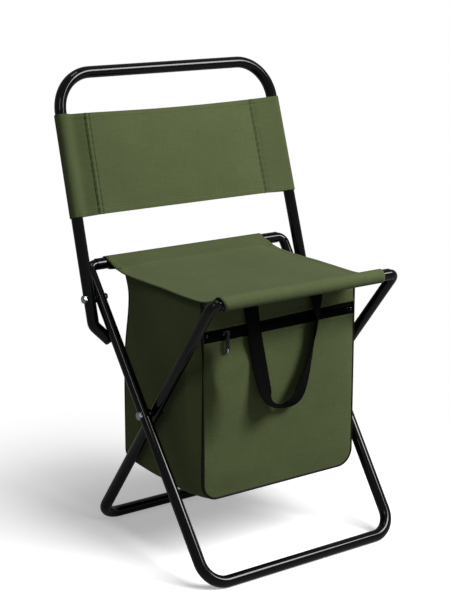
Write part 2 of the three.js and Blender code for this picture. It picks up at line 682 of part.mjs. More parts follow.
// The pull hangs from the bridge by a rolled eye.
function zipPull() {
  const bore = PULL_EYE_BORE / 2;
  const eye = bore + PULL_EYE_WALL;
  const rolled = extruded(circle(0, 0, eye), PULL_EYE_LENGTH, circle(0, 0, bore));
  rolled.translate(0, 0, -PULL_EYE_LENGTH / 2).rotateY(Math.PI / 2);
  const half = PULL_WIDTH / 2;
  const neck = PULL_EYE_LENGTH / 2;
  const root = -bore - PULL_EYE_WALL / 2;
  const tab = [
    spot(neck, root),
    spot(-neck, root),
    spot(-half, -eye - half),
    ...arc(0, half - PULL_LENGTH, half, Math.PI, 2 * Math.PI),
    spot(half, -eye - half),
  ];
  return join(rolled, layer(tab, PULL_THICKNESS / 2, -PULL_THICKNESS / 2));
}

const pull = place("zip_pull", zipPull(), blackenedMetal(), slider);
pull.position.z = bridgeHeight;

// Carry handle: webbing in a hanging loop that turns over once between its sewn ends.
function carryHandle() {
  const half = HANDLE_SPACING / 2;
  const sewn = SEAM_GAP + WEBBING_THICKNESS / 2;
  const at = (share) => {
    const angle = Math.PI * share;
    const drop = Math.sin(angle);
    const out = sewn + HANDLE_STAND_OFF * drop ** HANDLE_FLARE;
    return new THREE.Vector3(-half * Math.cos(angle), handleTop - HANDLE_DROP * drop, out);
  };
  const nudge = 1 / (4 * HANDLE_STEPS);
  const rings = Array.from({ length: HANDLE_STEPS + 1 }, (_, i) => {
    const share = i / HANDLE_STEPS;
    const ahead = at(Math.min(share + nudge, 1)).sub(at(Math.max(share - nudge, 0))).normalize();
    const twist = Math.PI * share;
    const flat = new THREE.Vector3(Math.cos(twist), 0, Math.sin(twist));
    const face = new THREE.Vector3().crossVectors(ahead, flat).normalize();
    const across = new THREE.Vector3().crossVectors(face, ahead).multiplyScalar(WEBBING_WIDTH / 2);
    face.multiplyScalar(WEBBING_THICKNESS / 2);
    const corners = [[1, 1], [-1, 1], [-1, -1], [1, -1]];
    return corners.map(([a, b]) => at(share).addScaledVector(across, a).addScaledVector(face, b));
  });
  return loft(rings);
}

place("carry_handle", carryHandle(), blackCloth(), bag);

// The origin is on the floor, in the middle of the stool's length.
const box = new THREE.Box3().setFromObject(stool);
stool.position.y = -(box.min.y + box.max.y) / 2;
const part = new THREE.Group();
part.add(stool);

export default part;
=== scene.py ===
import bisect
import json
import math

import bmesh
import bpy
from mathutils import Matrix, Vector, noise


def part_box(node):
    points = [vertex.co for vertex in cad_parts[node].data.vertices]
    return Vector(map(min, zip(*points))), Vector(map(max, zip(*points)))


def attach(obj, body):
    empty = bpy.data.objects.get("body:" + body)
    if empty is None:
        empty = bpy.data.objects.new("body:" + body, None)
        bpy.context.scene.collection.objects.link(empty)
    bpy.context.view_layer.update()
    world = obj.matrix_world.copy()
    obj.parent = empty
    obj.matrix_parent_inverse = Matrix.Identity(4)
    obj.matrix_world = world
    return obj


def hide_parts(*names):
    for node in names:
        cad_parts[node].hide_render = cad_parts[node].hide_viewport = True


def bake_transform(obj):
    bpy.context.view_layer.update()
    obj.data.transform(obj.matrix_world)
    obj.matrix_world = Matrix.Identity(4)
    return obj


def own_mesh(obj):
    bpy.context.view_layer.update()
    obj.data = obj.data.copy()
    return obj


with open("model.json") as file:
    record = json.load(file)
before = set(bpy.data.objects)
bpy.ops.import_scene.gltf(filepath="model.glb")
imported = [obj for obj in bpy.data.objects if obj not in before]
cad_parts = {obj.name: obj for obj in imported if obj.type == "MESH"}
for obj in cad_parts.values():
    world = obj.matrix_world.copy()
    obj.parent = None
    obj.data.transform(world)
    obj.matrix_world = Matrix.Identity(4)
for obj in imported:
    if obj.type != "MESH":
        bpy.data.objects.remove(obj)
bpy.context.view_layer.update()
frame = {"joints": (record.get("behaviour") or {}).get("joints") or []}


# Studio: a pale seamless floor with a wide panel of its own, a key panel at the front right, and weak panels
# overhead and at the left. The floor and the surround show white to the eye and dimmer to reflections,
# and send little light back to the cloth.
VIEW_AZIMUTH = -36.44
VIEW_ELEVATION = 13.88
VIEW_DISTANCE = 2.13307
VIEW_TARGET = Vector((0.00086, 0.01992, 0.3275))
VIEW_LENS = 92.65
FLOOR_HALF = 30.0
FLOOR_DROP = 0.0002
FLOOR_PLAIN_FROM = 0.18
FLOOR_PLAIN_TO = 0.64
FLOOR_LIFT = 0.36
SURROUND_LIGHT = 0.125
MIRRORED = 0.2


def srgb(code):
    """Linear colour of an sRGB hex value."""
    parts = [int(code[i:i + 2], 16) / 255 for i in (0, 2, 4)]
    return (*(p / 12.92 if p <= 0.04045 else ((p + 0.055) / 1.055) ** 2.4 for p in parts), 1.0)


def add(tree, kind, inputs=None, **settings):
    """Adds one node: settings are its own choices, and an input is a value or the socket that feeds it."""
    made = tree.nodes.new("ShaderNode" + kind)
    for name, value in settings.items():
        setattr(made, name, value)
    for name, value in (inputs or {}).items():
        if isinstance(value, bpy.types.NodeSocket):
            tree.links.new(value, made.inputs[name])
        else:
            made.inputs[name].default_value = value
    return made


def seen_directly(tree):
    """1 for rays from the eye or through glass, less for a reflection, and 0 for light that spreads."""
    rays = add(tree, "LightPath").outputs
    share = add(tree, "Math", {0: rays["Is Glossy Ray"], 1: MIRRORED}, operation="MULTIPLY")
    for kind in ("Is Transmission Ray", "Is Camera Ray"):
        share = add(tree, "Math", {0: share.outputs[0], 1: rays[kind]}, operation="MAXIMUM")
    return share.outputs[0]


def aimed(thing, azimuth, elevation, distance):
    """Stands the camera or a lamp so far from the stool, turned to it. Azimuth runs from front to right."""
    turn, rise = math.radians(azimuth), math.radians(elevation)
    away = Vector((math.sin(turn) * math.cos(rise), -math.cos(turn) * math.cos(rise), math.sin(rise)))
    thing.location = VIEW_TARGET + away * distance
    thing.rotation_euler = (VIEW_TARGET - thing.location).to_track_quat("-Z", "Y").to_euler()
    bpy.context.scene.collection.objects.link(thing)


camera = bpy.data.objects.new("camera", bpy.data.cameras.new("camera"))
camera.data.lens = VIEW_LENS
aimed(camera, VIEW_AZIMUTH, VIEW_ELEVATION, VIEW_DISTANCE)
bpy.context.scene.camera = camera
bpy.context.scene.view_settings.view_transform = "Standard"

# Painted studio floor: matt white near the stool, where it keeps the shadow, and plain white further off.
floor_paint = bpy.data.materials.new("white_floor_paint")
floor_paint.use_nodes = True
tree = floor_paint.node_tree
tree.nodes.clear()
lit = add(tree, "BsdfDiffuse", {"Color": srgb("f4f4f4")})
lift = add(tree, "Emission", {"Strength": FLOOR_LIFT})
near = add(tree, "AddShader", {0: lit.outputs[0], 1: lift.outputs[0]})
plain = add(tree, "Emission", {"Strength": 1.0})
from_stool = add(tree, "VectorMath", {0: add(tree, "TexCoord").outputs["Object"]}, operation="LENGTH")
apart = {"Value": from_stool.outputs["Value"], "From Min": FLOOR_PLAIN_FROM, "From Max": FLOOR_PLAIN_TO}
fade = add(tree, "MapRange", apart, interpolation_type="SMOOTHSTEP")
shown = add(tree, "MixShader", {0: fade.outputs[0], 1: near.outputs[0], 2: plain.outputs[0]})
spread = add(tree, "BsdfDiffuse", {"Color": srgb("707070")})
either = add(tree, "MixShader", {0: seen_directly(tree), 1: spread.outputs[0], 2: shown.outputs[0]})
add(tree, "OutputMaterial", {"Surface": either.outputs[0]})

floor_mesh = bpy.data.meshes.new("floor")
floor_signs = ((-1, -1), (1, -1), (1, 1), (-1, 1))
floor_corners = [(x * FLOOR_HALF, y * FLOOR_HALF, -FLOOR_DROP) for x, y in floor_signs]
floor_mesh.from_pydata(floor_corners, [], [(0, 1, 2, 3)])
floor_mesh.materials.append(floor_paint)
floor = bpy.data.objects.new("floor", floor_mesh)
bpy.context.scene.collection.objects.link(floor)

world = bpy.data.worlds.new("studio")
world.use_nodes = True
bpy.context.scene.world = world
tree = world.node_tree
tree.nodes.clear()
fill = add(tree, "Background", {"Strength": SURROUND_LIGHT})
white = add(tree, "Background", {"Color": srgb("ffffff"), "Strength": 1.0})
either = add(tree, "MixShader", {0: seen_directly(tree), 1: fill.outputs[0], 2: white.outputs[0]})
add(tree, "OutputWorld", {"Surface": either.outputs[0]})


def soft_panel(name, azimuth, elevation, distance, width, height, watts, floor_light=None):
    """A soft panel aimed at the stool, with its sizes in metres.
    floor_light is INCLUDE for a panel that lights the floor alone, and EXCLUDE for one that leaves it out."""
    lamp = bpy.data.lights.new(name, "AREA")
    lamp.shape = "RECTANGLE"
    lamp.size = width
    lamp.size_y = height
    lamp.energy = watts
    standing = bpy.data.objects.new(name, lamp)
    aimed(standing, azimuth, elevation, distance)
    if floor_light:
        lit_by_panel = bpy.data.collections.new(name)
        lit_by_panel.objects.link(floor)
        lit_by_panel.collection_objects[0].light_linking.link_state = floor_light
        standing.light_linking.receiver_collection = lit_by_panel


soft_panel("key_panel", 41, 38, 2.3, 0.9, 0.8, 46, "EXCLUDE")
soft_panel("overhead_panel", 10, 86, 1.9, 0.35, 0.35, 3)
soft_panel("fill_panel", -50, 40, 2.0, 0.15, 0.6, 3.0, "EXCLUDE")
soft_panel("floor_panel", 15, 40, 2.4, 1.5, 1.5, 93, "INCLUDE")


# Leg frames, seat bars and backrest frame: 16 mm steel tube, cold bent, powder coated gloss black.
# Each leg frame is one tube whose ends are swaged thinner, bent inwards and pushed into a straight seat bar.
MM = 0.001
TUBE_RADIUS = 8.0
TUBE_WALL = 1.0
SWAGED_RADIUS = 6.6
TUBE_SIDES = 36
BEND_STEP = math.radians(4)
SMOOTH_ANGLE = math.radians(38)
SEAT_BEND = 10.0
FLOOR_BEND = 33.0
BAR_END_GAP = 1.0
PLUG_LENGTH = 36.0
PLUG_ROOM = 2.0
NECK_STRAIGHT = 6.0
RIM_ROUND = 0.5
FLOOR_AXIS = 7.85
OUTER_FLOOR_HALF = 158.2
INNER_FLOOR_HALF = 139.45
BACKREST_LEAN = math.radians(16.3)
BACKREST_HEIGHT = 304.0
BACKREST_BEND = 54.0
BACKREST_BOLT_HALF = 183.29
BACKREST_TOP_HALF = 178.0
HOOK_ANGLE = math.radians(42)
HOOK_BEND = 12.0
HOOK_STRAIGHT = 31.6
HOOK_TIP = 25.0
CREASE_DEPTH = 0.45
CREASE_PITCH = 3.6


def principled(name, colour, roughness, **surface):
    """A material with one Principled shader, and its tree and shader for the nodes that come before them."""
    made = bpy.data.materials.new(name)
    made.use_nodes = True
    shader = made.node_tree.nodes["Principled BSDF"]
    shader.inputs["Base Color"].default_value = srgb(colour)
    shader.inputs["Roughness"].default_value = roughness
    for socket, value in surface.items():
        shader.inputs[socket.replace("_", " ")].default_value = value
    return made, made.node_tree, shader


def bumped(tree, shader, height, depth):
    """Feeds a height from 0 to 1 to the shader's normal, as a relief of that depth in millimetres."""
    bump = add(tree, "Bump", {"Height": height, "Strength": 1.0, "Distance": depth * MM})
    tree.links.new(bump.outputs[0], shader.inputs["Normal"])


def grained(tree, shader, width, detail, depth):
    """Gives a surface a grain, so wide and so deep in millimetres."""
    where = add(tree, "TexCoord").outputs["Object"]
    grain = add(tree, "TexNoise", {"Vector": where, "Scale": 1 / (width * MM), "Detail": detail})
    bumped(tree, shader, grain.outputs["Fac"], depth)


def patchy(tree, shader, width, detail, low, high):
    """Gives a surface patches so many millimetres wide, between two roughnesses."""
    where = add(tree, "TexCoord").outputs["Object"]
    patches = add(tree, "TexNoise", {"Vector": where, "Scale": 1 / (width * MM), "Detail": detail})
    duller = add(tree, "MapRange", {"Value": patches.outputs["Fac"], "To Min": low, "To Max": high})
    tree.links.new(duller.outputs[0], shader.inputs["Roughness"])


# Powder coat: baked polyester powder. It flows to a gloss skin with a faint orange peel a few millimetres
# wide, and handling leaves broad patches that are a little duller.
powder_coat, tree, shader = principled("gloss_black_powder_coat", "060708", 0.08, Specular_IOR_Level=0.25)
grained(tree, shader, width=2.5, detail=1.0, depth=0.0008)
patchy(tree, shader, width=45.0, detail=3.0, low=0.05, high=0.1)


def middle(node):
    """Centre of a node's box, in millimetres."""
    low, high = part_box(node)
    return (low + high) / 2 / MM


def joint(name):
    """What the frame says of a joint."""
    return next(j for j in frame["joints"] if j["name"] == name)


def joint_place(name):
    """Where a joint's axis crosses the middle of the stool, in millimetres."""
    return Vector(joint(name)["pos_m"]) / MM


def smooth(share):
    """0 to 1 with a soft start and end."""
    share = min(max(share, 0.0), 1.0)
    return share * share * (3 - 2 * share)


def round_angles(count):
    """Evenly spaced angles round a circle."""
    return [2 * math.pi * k / count for k in range(count)]


def skin(name, grids, finishes, ring=False, capped=False, uv=None, pick=None):
    """One mesh over grids of points in millimetres. ring closes each row on itself, and capped closes the
    ends. uv(i, j) gives cloth millimetres, and pick(i, j) which of the finishes a face has."""
    points, faces, places, kinds = [], [], [], []
    for rows in grids:
        count, first = len(rows[0]), len(points)
        points += [p * MM for row in rows for p in row]
        for i in range(len(rows) - 1):
            for j in range(count if ring else count - 1):
                corners = ((i, j), (i, j + 1), (i + 1, j + 1), (i + 1, j))
                faces.append([first + r * count + c % count for r, c in corners])
                places += corners
                kinds.append(pick(i, j) if pick else 0)
        if capped:
            faces.append([first + c for c in range(count)])
            faces.append([first + (len(rows) - 1) * count + c for c in range(count)])
            places += [(0, 0)] * (2 * count)
            kinds += [0, 0]
    mesh = bpy.data.meshes.new(name)
    mesh.from_pydata(points, [], faces)
    for finish in finishes:
        mesh.materials.append(finish)
    mesh.polygons.foreach_set("material_index", kinds)
    if uv:
        layer = mesh.uv_layers.new(name="cloth_mm")
        layer.uv.foreach_set("vector", [part for place in places for part in uv(*place)])
    work = bmesh.new()
    work.from_mesh(mesh)
    bmesh.ops.recalc_face_normals(work, faces=work.faces)
    work.to_mesh(mesh)
    work.free()
    mesh.shade_smooth()
    mesh.set_sharp_from_angle(angle=SMOOTH_ANGLE)
    made = bpy.data.objects.new(name, mesh)
    bpy.context.scene.collection.objects.link(made)
    return made


def closed(name, rows, finish):
    """A piece with closed ends, from rings of points."""
    return skin(name, [rows], [finish], ring=True, capped=True)


def fitted(piece, body, slot, *nodes):
    """The piece moves with a body and stands for these nodes. The slot is not used."""
    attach(piece, body)
    if nodes:
        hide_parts(*nodes)
    return piece


def leaning(low, up):
    """Places flat points (x, along, out) on a plane that leans in side view, from a low point along up."""
    out = Vector((0, -up.z, up.y))

    def place(x, along, stand_off=0.0):
        return Vector((x, low.y, low.z)) + up * along + out * stand_off

    return place


def bent(corners):
    """Stops (point, direction, along) on a flat route whose inner corners (x, y, radius) become arcs."""
    stops = []

    def stop(point, direction):
        along = stops[-1][2] + (point - stops[-1][0]).length if stops else 0.0
        stops.append((point, direction, along))

    points = [Vector(corner[:2]) for corner in corners]
    stop(points[0], (points[1] - points[0]).normalized())
    for before, corner, after in zip(points, corners[1:], points[2:]):
        here, radius = Vector(corner[:2]), corner[2]
        arrive, leave = (here - before).normalized(), (after - here).normalized()
        turn = math.atan2(arrive.cross(leave), arrive.dot(leave))
        start = here - arrive * radius * math.tan(abs(turn) / 2)
        inwards = Vector((-arrive.y, arrive.x)) * math.copysign(radius, turn)
        count = math.ceil(abs(turn) / BEND_STEP)
        for k in range(count + 1):
            swing = Matrix.Rotation(turn * k / count, 2)
            stop(start + inwards - swing @ inwards, swing @ arrive)
    stop(points[-1], (points[-1] - points[-2]).normalized())
    return stops


def mirrored(half):
    """A route from right to left, from its right half."""
    return half + [(-corner[0], *corner[1:]) for corner in reversed(half)]


def swept(stops, place, radius_at, sides):
    """Rings of points round a flat route, placed in space."""
    rows = []
    for point, direction, along in stops:
        row = []
        for angle in round_angles(sides):
            radius = radius_at(along, angle)
            across, out = radius * math.cos(angle), radius * math.sin(angle)
            row.append(place(point.x - direction.y * across, point.y + direction.x * across, out))
        rows.append(row)
    return rows


def turned(name, profile, origin, axis, finish, across_flats=None):
    """A round piece from (along, radius) pairs on an axis; across_flats cuts it to a hexagon."""
    axis = axis.normalized()
    side = axis.cross(Vector((0, 0, 1))) if abs(axis.z) < 1 else Vector((0, -1, 0))
    side.normalize()
    up = side.cross(axis)
    rows = []
    for along, radius in profile:
        row = []
        for angle in round_angles(TUBE_SIDES):
            reach = radius
            if across_flats:
                reach = min(radius, across_flats / 2 / math.cos(angle % (math.pi / 3) - math.pi / 6))
            row.append(origin + axis * along + (side * math.cos(angle) + up * math.sin(angle)) * reach)
        rows.append(row)
    return closed(name, rows, finish)


front_bar = middle("front_seat_bar")
rear_bar = middle("rear_seat_bar")
front_bar_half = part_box("front_seat_bar")[1].x / MM
rear_bar_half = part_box("rear_seat_bar")[1].x / MM
front_floor = Vector((0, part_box("outer_leg_frame")[0].y / MM + FLOOR_AXIS, FLOOR_AXIS))
rear_floor = Vector((0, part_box("inner_leg_frame")[1].y / MM - FLOOR_AXIS, FLOOR_AXIS))
pivot = joint_place("frame_fold")
backrest_bolt = joint_place("backrest_fold")


def leg_frame(name, body, floor_point, bar, bar_half, floor_half):
    """One bent tube from its left plug over the floor to its right plug."""
    rise = bar - floor_point
    seat_half = bar_half + BAR_END_GAP + SEAT_BEND
    half = [
        (bar_half - PLUG_LENGTH, rise.length),
        (seat_half, rise.length, SEAT_BEND),
        (floor_half, 0.0, FLOOR_BEND),
    ]
    stops = bent(mirrored(half))
    neck_end = PLUG_LENGTH + BAR_END_GAP + NECK_STRAIGHT
    neck_length = SEAT_BEND * math.pi / 2 + NECK_STRAIGHT

    def radius_at(along, angle):
        from_end = min(along, stops[-1][2] - along)
        return SWAGED_RADIUS + (TUBE_RADIUS - SWAGED_RADIUS) * smooth((from_end - neck_end) / neck_length)

    place = leaning(floor_point, rise.normalized())
    piece = closed(name, swept(stops, place, radius_at, TUBE_SIDES), powder_coat)
    fitted(piece, body, "black_powder_coat", name.replace("bent", "leg"))


leg_frame("outer_bent_frame", "outer_frame", front_floor, rear_bar, rear_bar_half, OUTER_FLOOR_HALF)
leg_frame("inner_bent_frame", "inner_frame", rear_floor, front_bar, front_bar_half, INNER_FLOOR_HALF)

for name, body, bar, half in (
    ("rear_seat_tube", "outer_frame", rear_bar, rear_bar_half),
    ("front_seat_tube", "inner_frame", front_bar, front_bar_half),
):
    bore = TUBE_RADIUS - TUBE_WALL
    end = [(half - PLUG_LENGTH - PLUG_ROOM, bore), (half - RIM_ROUND, bore), (half, bore + RIM_ROUND / 2)]
    end += [(half, TUBE_RADIUS - RIM_ROUND), (half - RIM_ROUND, TUBE_RADIUS)]
    profile = [(-along, radius) for along, radius in end] + list(reversed(end))
    tube = turned(name, profile, bar, Vector((1, 0, 0)), powder_coat)
    fitted(tube, body, "black_powder_coat", name.replace("tube", "bar"))

up_backrest = Vector((0, math.sin(BACKREST_LEAN), math.cos(BACKREST_LEAN)))
on_backrest = leaning(backrest_bolt, up_backrest)


def backrest_half(along):
    """Half the spacing of the backrest's tubes, so far above the bolts."""
    return BACKREST_BOLT_HALF + (BACKREST_TOP_HALF - BACKREST_BOLT_HALF) * along / BACKREST_HEIGHT


turn_in = HOOK_STRAIGHT + HOOK_BEND * math.tan(HOOK_ANGLE / 2)
knee = backrest_half(-turn_in)
shank = HOOK_TIP + HOOK_BEND * math.tan(HOOK_ANGLE / 2)
hook_end = Vector((knee - math.sin(HOOK_ANGLE) * shank, -turn_in - math.cos(HOOK_ANGLE) * shank))
backrest_stops = bent(mirrored([
    tuple(hook_end),
    (knee, -turn_in, HOOK_BEND),
    (BACKREST_TOP_HALF, BACKREST_HEIGHT, BACKREST_BEND),
]))


def creased(along, angle):
    """The tight hook bend leaves small creases on its inner side."""
    into_bend = min(along, backrest_stops[-1][2] - along) - HOOK_TIP
    bend_length = HOOK_BEND * HOOK_ANGLE
    if not 0 < into_bend < bend_length:
        return TUBE_RADIUS
    wave = math.sin(math.pi * into_bend / CREASE_PITCH) ** 2 * math.sin(math.pi * into_bend / bend_length)
    return TUBE_RADIUS - CREASE_DEPTH * wave * max(math.cos(angle), 0.0) ** 2


backrest_rings = swept(backrest_stops, on_backrest, creased, TUBE_SIDES)
backrest_tube = closed("backrest_bent_frame", backrest_rings, powder_coat)
fitted(backrest_tube, "backrest", "black_powder_coat", "backrest_frame")


# Bolts, nuts, washers and plugs: M6 hex bolts in zinc plate through the tubes, with thin blackened nuts
# inside, a plastic washer between the tubes, and a moulded plug pushed into each hooked end.
BOLT_RADIUS = 3.0
BOLT_CLEARANCE = 0.1
HEAD_ACROSS = 10.0
HEAD_HEIGHT = 4.0
HEAD_SUNK = 1.6
HEAD_CHAMFER = 0.9
HEAD_SHOULDER = 5.1
HEAD_FACE = 4.5
NUT_ACROSS = 8.0
NUT_HEIGHT = 1.5
NUT_CHAMFER = 0.4
NUT_FACE = 3.8
TIP_SHOWS = 0.3
THREAD_TURNS = 12
THREAD_PITCH = 1.0
THREAD_DEPTH = 0.35
HOOK_PLUG_LENGTH = 12.0
HOOK_PLUG_GAP = 0.1
PLUG_RIM = 2.0
PLUG_ROUND = 0.7

# Zinc plate: bright electroplate with a thin blue passivate, so it is pale and a little uneven.
zinc, tree, shader = principled("bright_zinc_plate", "a4aaae", 0.4, Metallic=1.0)
patchy(tree, shader, width=3.0, detail=2.0, low=0.34, high=0.5)

# Blackened steel: oiled black oxide, dark grey with a soft metal gleam.
black_oxide, tree, shader = principled("black_oxide_steel", "1e1f21", 0.42, Metallic=1.0)
grained(tree, shader, width=1.2, detail=2.0, depth=0.02)

# Moulded plastic: black polypropylene with a fine spark-eroded grain.
plastic, tree, shader = principled("black_polypropylene", "0c0c0d", 0.5, Specular_IOR_Level=0.15)
grained(tree, shader, width=0.8, detail=1.0, depth=0.03)


def from_middle(node):
    """How far a node's near and far ends are from the middle of the stool, in millimetres."""
    return sorted(abs(corner.x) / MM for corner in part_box(node))


def collar(low, high, face, rim, round_by):
    """Profile of a nut or washer, with the same edge at both ends."""
    edge = [(low, BOLT_RADIUS + BOLT_CLEARANCE), (low, face), (low + round_by, rim)]
    return edge + [(low + high - along, radius) for along, radius in reversed(edge)]


for side, sign in (("left", -1), ("right", 1)):
    outwards = Vector((sign, 0, 0))
    for place_name in ("leg_pivot", "backrest"):
        bolt_node = f"{place_name}_bolt_{side}"
        nut_node = f"{place_name}_nut_{side}"
        washer_node = f"{place_name}_washer_{side}"
        axis_point = middle(bolt_node)
        axis_point.x = 0
        high = from_middle(nut_node)[1]
        low = high - NUT_HEIGHT
        tip = low - TIP_SHOWS
        top = from_middle(bolt_node)[1] - HEAD_SUNK
        under_head = top - HEAD_HEIGHT
        thread = [(tip, BOLT_RADIUS - 2 * THREAD_DEPTH)]
        for k in range(THREAD_TURNS):
            thread.append((tip + (k + 0.5) * THREAD_PITCH, BOLT_RADIUS))
            thread.append((tip + (k + 1) * THREAD_PITCH, BOLT_RADIUS - THREAD_DEPTH))
        head = [
            (under_head, BOLT_RADIUS),
            (under_head, HEAD_ACROSS),
            (top - HEAD_CHAMFER, HEAD_ACROSS / math.sqrt(3)),
            (top - HEAD_CHAMFER / 3, HEAD_SHOULDER),
            (top, HEAD_FACE),
            (top, HEAD_ACROSS / 6),
        ]
        bolt_name = bolt_node.replace("bolt", "hex_bolt")
        bolt = turned(bolt_name, thread + head, axis_point, outwards, zinc, HEAD_ACROSS)
        fitted(bolt, "outer_frame", "zinc_plate", bolt_node)
        nut_name = nut_node.replace("nut", "hex_nut")
        nut_profile = collar(low, high, NUT_FACE, NUT_ACROSS / math.sqrt(3), NUT_CHAMFER)
        nut = turned(nut_name, nut_profile, axis_point, outwards, black_oxide, NUT_ACROSS)
        fitted(nut, "outer_frame", "blackened_steel", nut_node)
        low, high = from_middle(washer_node)
        washer_low, washer_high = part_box(washer_node)
        rim = (washer_high.z - washer_low.z) / 2 / MM
        round_by = (high - low) / 4
        washer_name = washer_node.replace("washer", "spacer")
        washer_profile = collar(low, high, rim - round_by, rim, round_by)
        washer = turned(washer_name, washer_profile, axis_point, outwards, plastic)
        fitted(washer, "outer_frame", "black_plastic", washer_node)
    end = on_backrest(sign * hook_end.x, hook_end.y)
    away = on_backrest(sign * (hook_end.x - math.sin(HOOK_ANGLE)), hook_end.y - math.cos(HOOK_ANGLE)) - end
    plug_profile = [
        (-HOOK_PLUG_LENGTH, TUBE_RADIUS - 2 * TUBE_WALL),
        (HOOK_PLUG_GAP, TUBE_RADIUS - 2 * TUBE_WALL),
        (HOOK_PLUG_GAP, TUBE_RADIUS),
        (PLUG_RIM - PLUG_ROUND, TUBE_RADIUS),
        (PLUG_RIM - PLUG_ROUND / 3, TUBE_RADIUS - PLUG_ROUND / 3),
        (PLUG_RIM, TUBE_RADIUS - PLUG_ROUND),
        (PLUG_RIM, TUBE_RADIUS / 4),
    ]
    plug = turned(f"hook_end_plug_{side}", plug_profile, end, away, plastic)
    fitted(plug, "backrest", "black_plastic", f"hook_plug_{side}")


# Backrest sling: one panel of coated polyester cloth, hemmed top and bottom, with a sleeve sewn at each end
# by two rows of stitches. The sleeves are slid onto the backrest tubes before the frame is bolted up.
# SLING_FRONT gives the front ply's stand-off from the tubes' plane, by its share of the sleeve's width.
CLOTH = 1.1
SLEEVE_RADIUS = 9.0
SLING_BOTTOM = 109.5
SLING_TOP = 249.0
SLING_SAG = 4.0
SLING_BELLY = 4.0
BELLY_FROM_SEAM = 60.0
SLEEVE_WIDTH = {-1: 32.5, 1: 48.0}
FLAP_DROP = CLOTH + 0.4
ROW_SPACING = 7.0
ROW_END = 2.0
STITCH_LENGTH = 3.0
STITCH_GAP = 1.0
STITCH_SHAPE = ((0, -0.9, 0.4), (0.15, 0.3, 0.9), (0.5, 0.8, 1.0), (0.85, 0.3, 0.9), (1, -0.9, 0.4))
THREAD_RADIUS = 0.24
THREAD_SIDES = 5
GROOVE_DEPTH = 1.1
GROOVE_WIDTH = 0.9
PUCKER = 0.45
PUCKER_PITCH = 9.0
PUCKER_REACH = 7.0
PUCKER_DRIFT = 3.0
PUCKER_DRIFT_SPAN = 40.0
WELT = 1.0
WELT_WIDTH = 2.4
HEM_WIDTH = 9.0
HEM_RISE = 0.5
HEM_STEP = 0.5
HEM_ROW = 1.5
HEM_ROW_END = 3.0
HEM_MIDDLE = 5.0
SLING_FRONT = {
    -1: [
        (0, 9), (0.08, 9), (0.15, 8.2), (0.22, 6.4), (0.3, 5),
        (0.42, 4.8), (0.7, 7), (1, 9.8), (2.1, 11), (7, 11.2),
    ],
    1: [
        (0, 9.0), (0.08, 9.0), (0.14, 8.8), (0.36, 8.8), (0.67, 9.2),
        (1, 9.8), (2.1, 11.0), (3, 11.2), (7, 11.2),
    ],
}
SLING_FLAP = 8
SLING_WRAP = 30
SLING_MIDDLE = 100.0
PROBE = 0.3

# Polyester cloth: plain weave of 600-denier yarn, dyed olive and coated behind. Matt, with a weak sheen and a
# slight slub in the yarns. The yarns lie 0.5 mm apart, and are drawn 1.2 mm apart so that the weave shows.
YARN_PITCH = 1.2
SLUB_LENGTH = 22.0
SLUB_WIDTH = 1.6
SHADE_WIDTH = 70.0
CLOTH_ROUGHNESS = 0.82
TINT_FROM = 1.1
TINT_TO = 1.9
WAVE_BANDS = 20


def woven_cloth(name, dark, pale, depth, **surface):
    """Woven cloth whose yarns follow the piece's own millimetres, in a colour between dark and pale.
    At a scale of 1, a wave texture has WAVE_BANDS bands in a length of 2 pi."""
    made, tree, shader = principled(name, pale, CLOTH_ROUGHNESS, **surface)
    place = add(tree, "UVMap", uv_map="cloth_mm").outputs[0]
    bands = 2 * math.pi / (WAVE_BANDS * YARN_PITCH)
    warp = add(tree, "TexWave", {"Vector": place, "Scale": bands}, bands_direction="X")
    weft = add(tree, "TexWave", {"Vector": place, "Scale": bands}, bands_direction="Y")
    weave = add(tree, "Math", {0: warp.outputs["Fac"], 1: weft.outputs["Fac"]}, operation="MULTIPLY")
    bumped(tree, shader, weave.outputs[0], depth)
    slubs = []
    for size in ((SLUB_LENGTH, SLUB_WIDTH), (SLUB_WIDTH, SLUB_LENGTH)):
        lay = add(tree, "Mapping", {"Vector": place, "Scale": (1 / size[0], 1 / size[1], 1)})
        slubs.append(add(tree, "TexNoise", {"Vector": lay.outputs[0], "Scale": 1.0, "Detail": 1.0}))
    yarns = add(tree, "Math", {0: slubs[0].outputs["Fac"], 1: slubs[1].outputs["Fac"]}, operation="ADD")
    shade = add(tree, "TexNoise", {"Vector": place, "Scale": 1 / SHADE_WIDTH, "Detail": 3.0})
    both = add(tree, "Math", {0: yarns.outputs[0], 1: shade.outputs["Fac"]}, operation="ADD")
    part = add(tree, "MapRange", {"Value": both.outputs[0], "From Min": TINT_FROM, "From Max": TINT_TO})
    tint = add(tree, "Mix", {"Factor": part.outputs[0], "A": srgb(dark), "B": srgb(pale)}, data_type="RGBA")
    tree.links.new(tint.outputs["Result"], shader.inputs["Base Color"])
    return made


DULL = {"Specular_IOR_Level": 0.1, "Sheen_Weight": 0.04, "Sheen_Roughness": 0.5}
olive_cloth = woven_cloth("olive_polyester_cloth", "59633f", "616c47", 0.06, **DULL)
# A darker copy of the olive cloth: painted shade on the backrest's sleeves and on the seat's rear sleeve.
olive_painted_shade = woven_cloth("olive_polyester_painted_shade", "545e3b", "5b6643", 0.06, **DULL)

# Sewing thread: spun polyester, a shade darker than the cloth.
thread_finish, tree, shader = principled("olive_sewing_thread", "4a5336", 0.7, Sheen_Weight=0.2)
grained(tree, shader, width=THREAD_RADIUS, detail=1.0, depth=0.05)


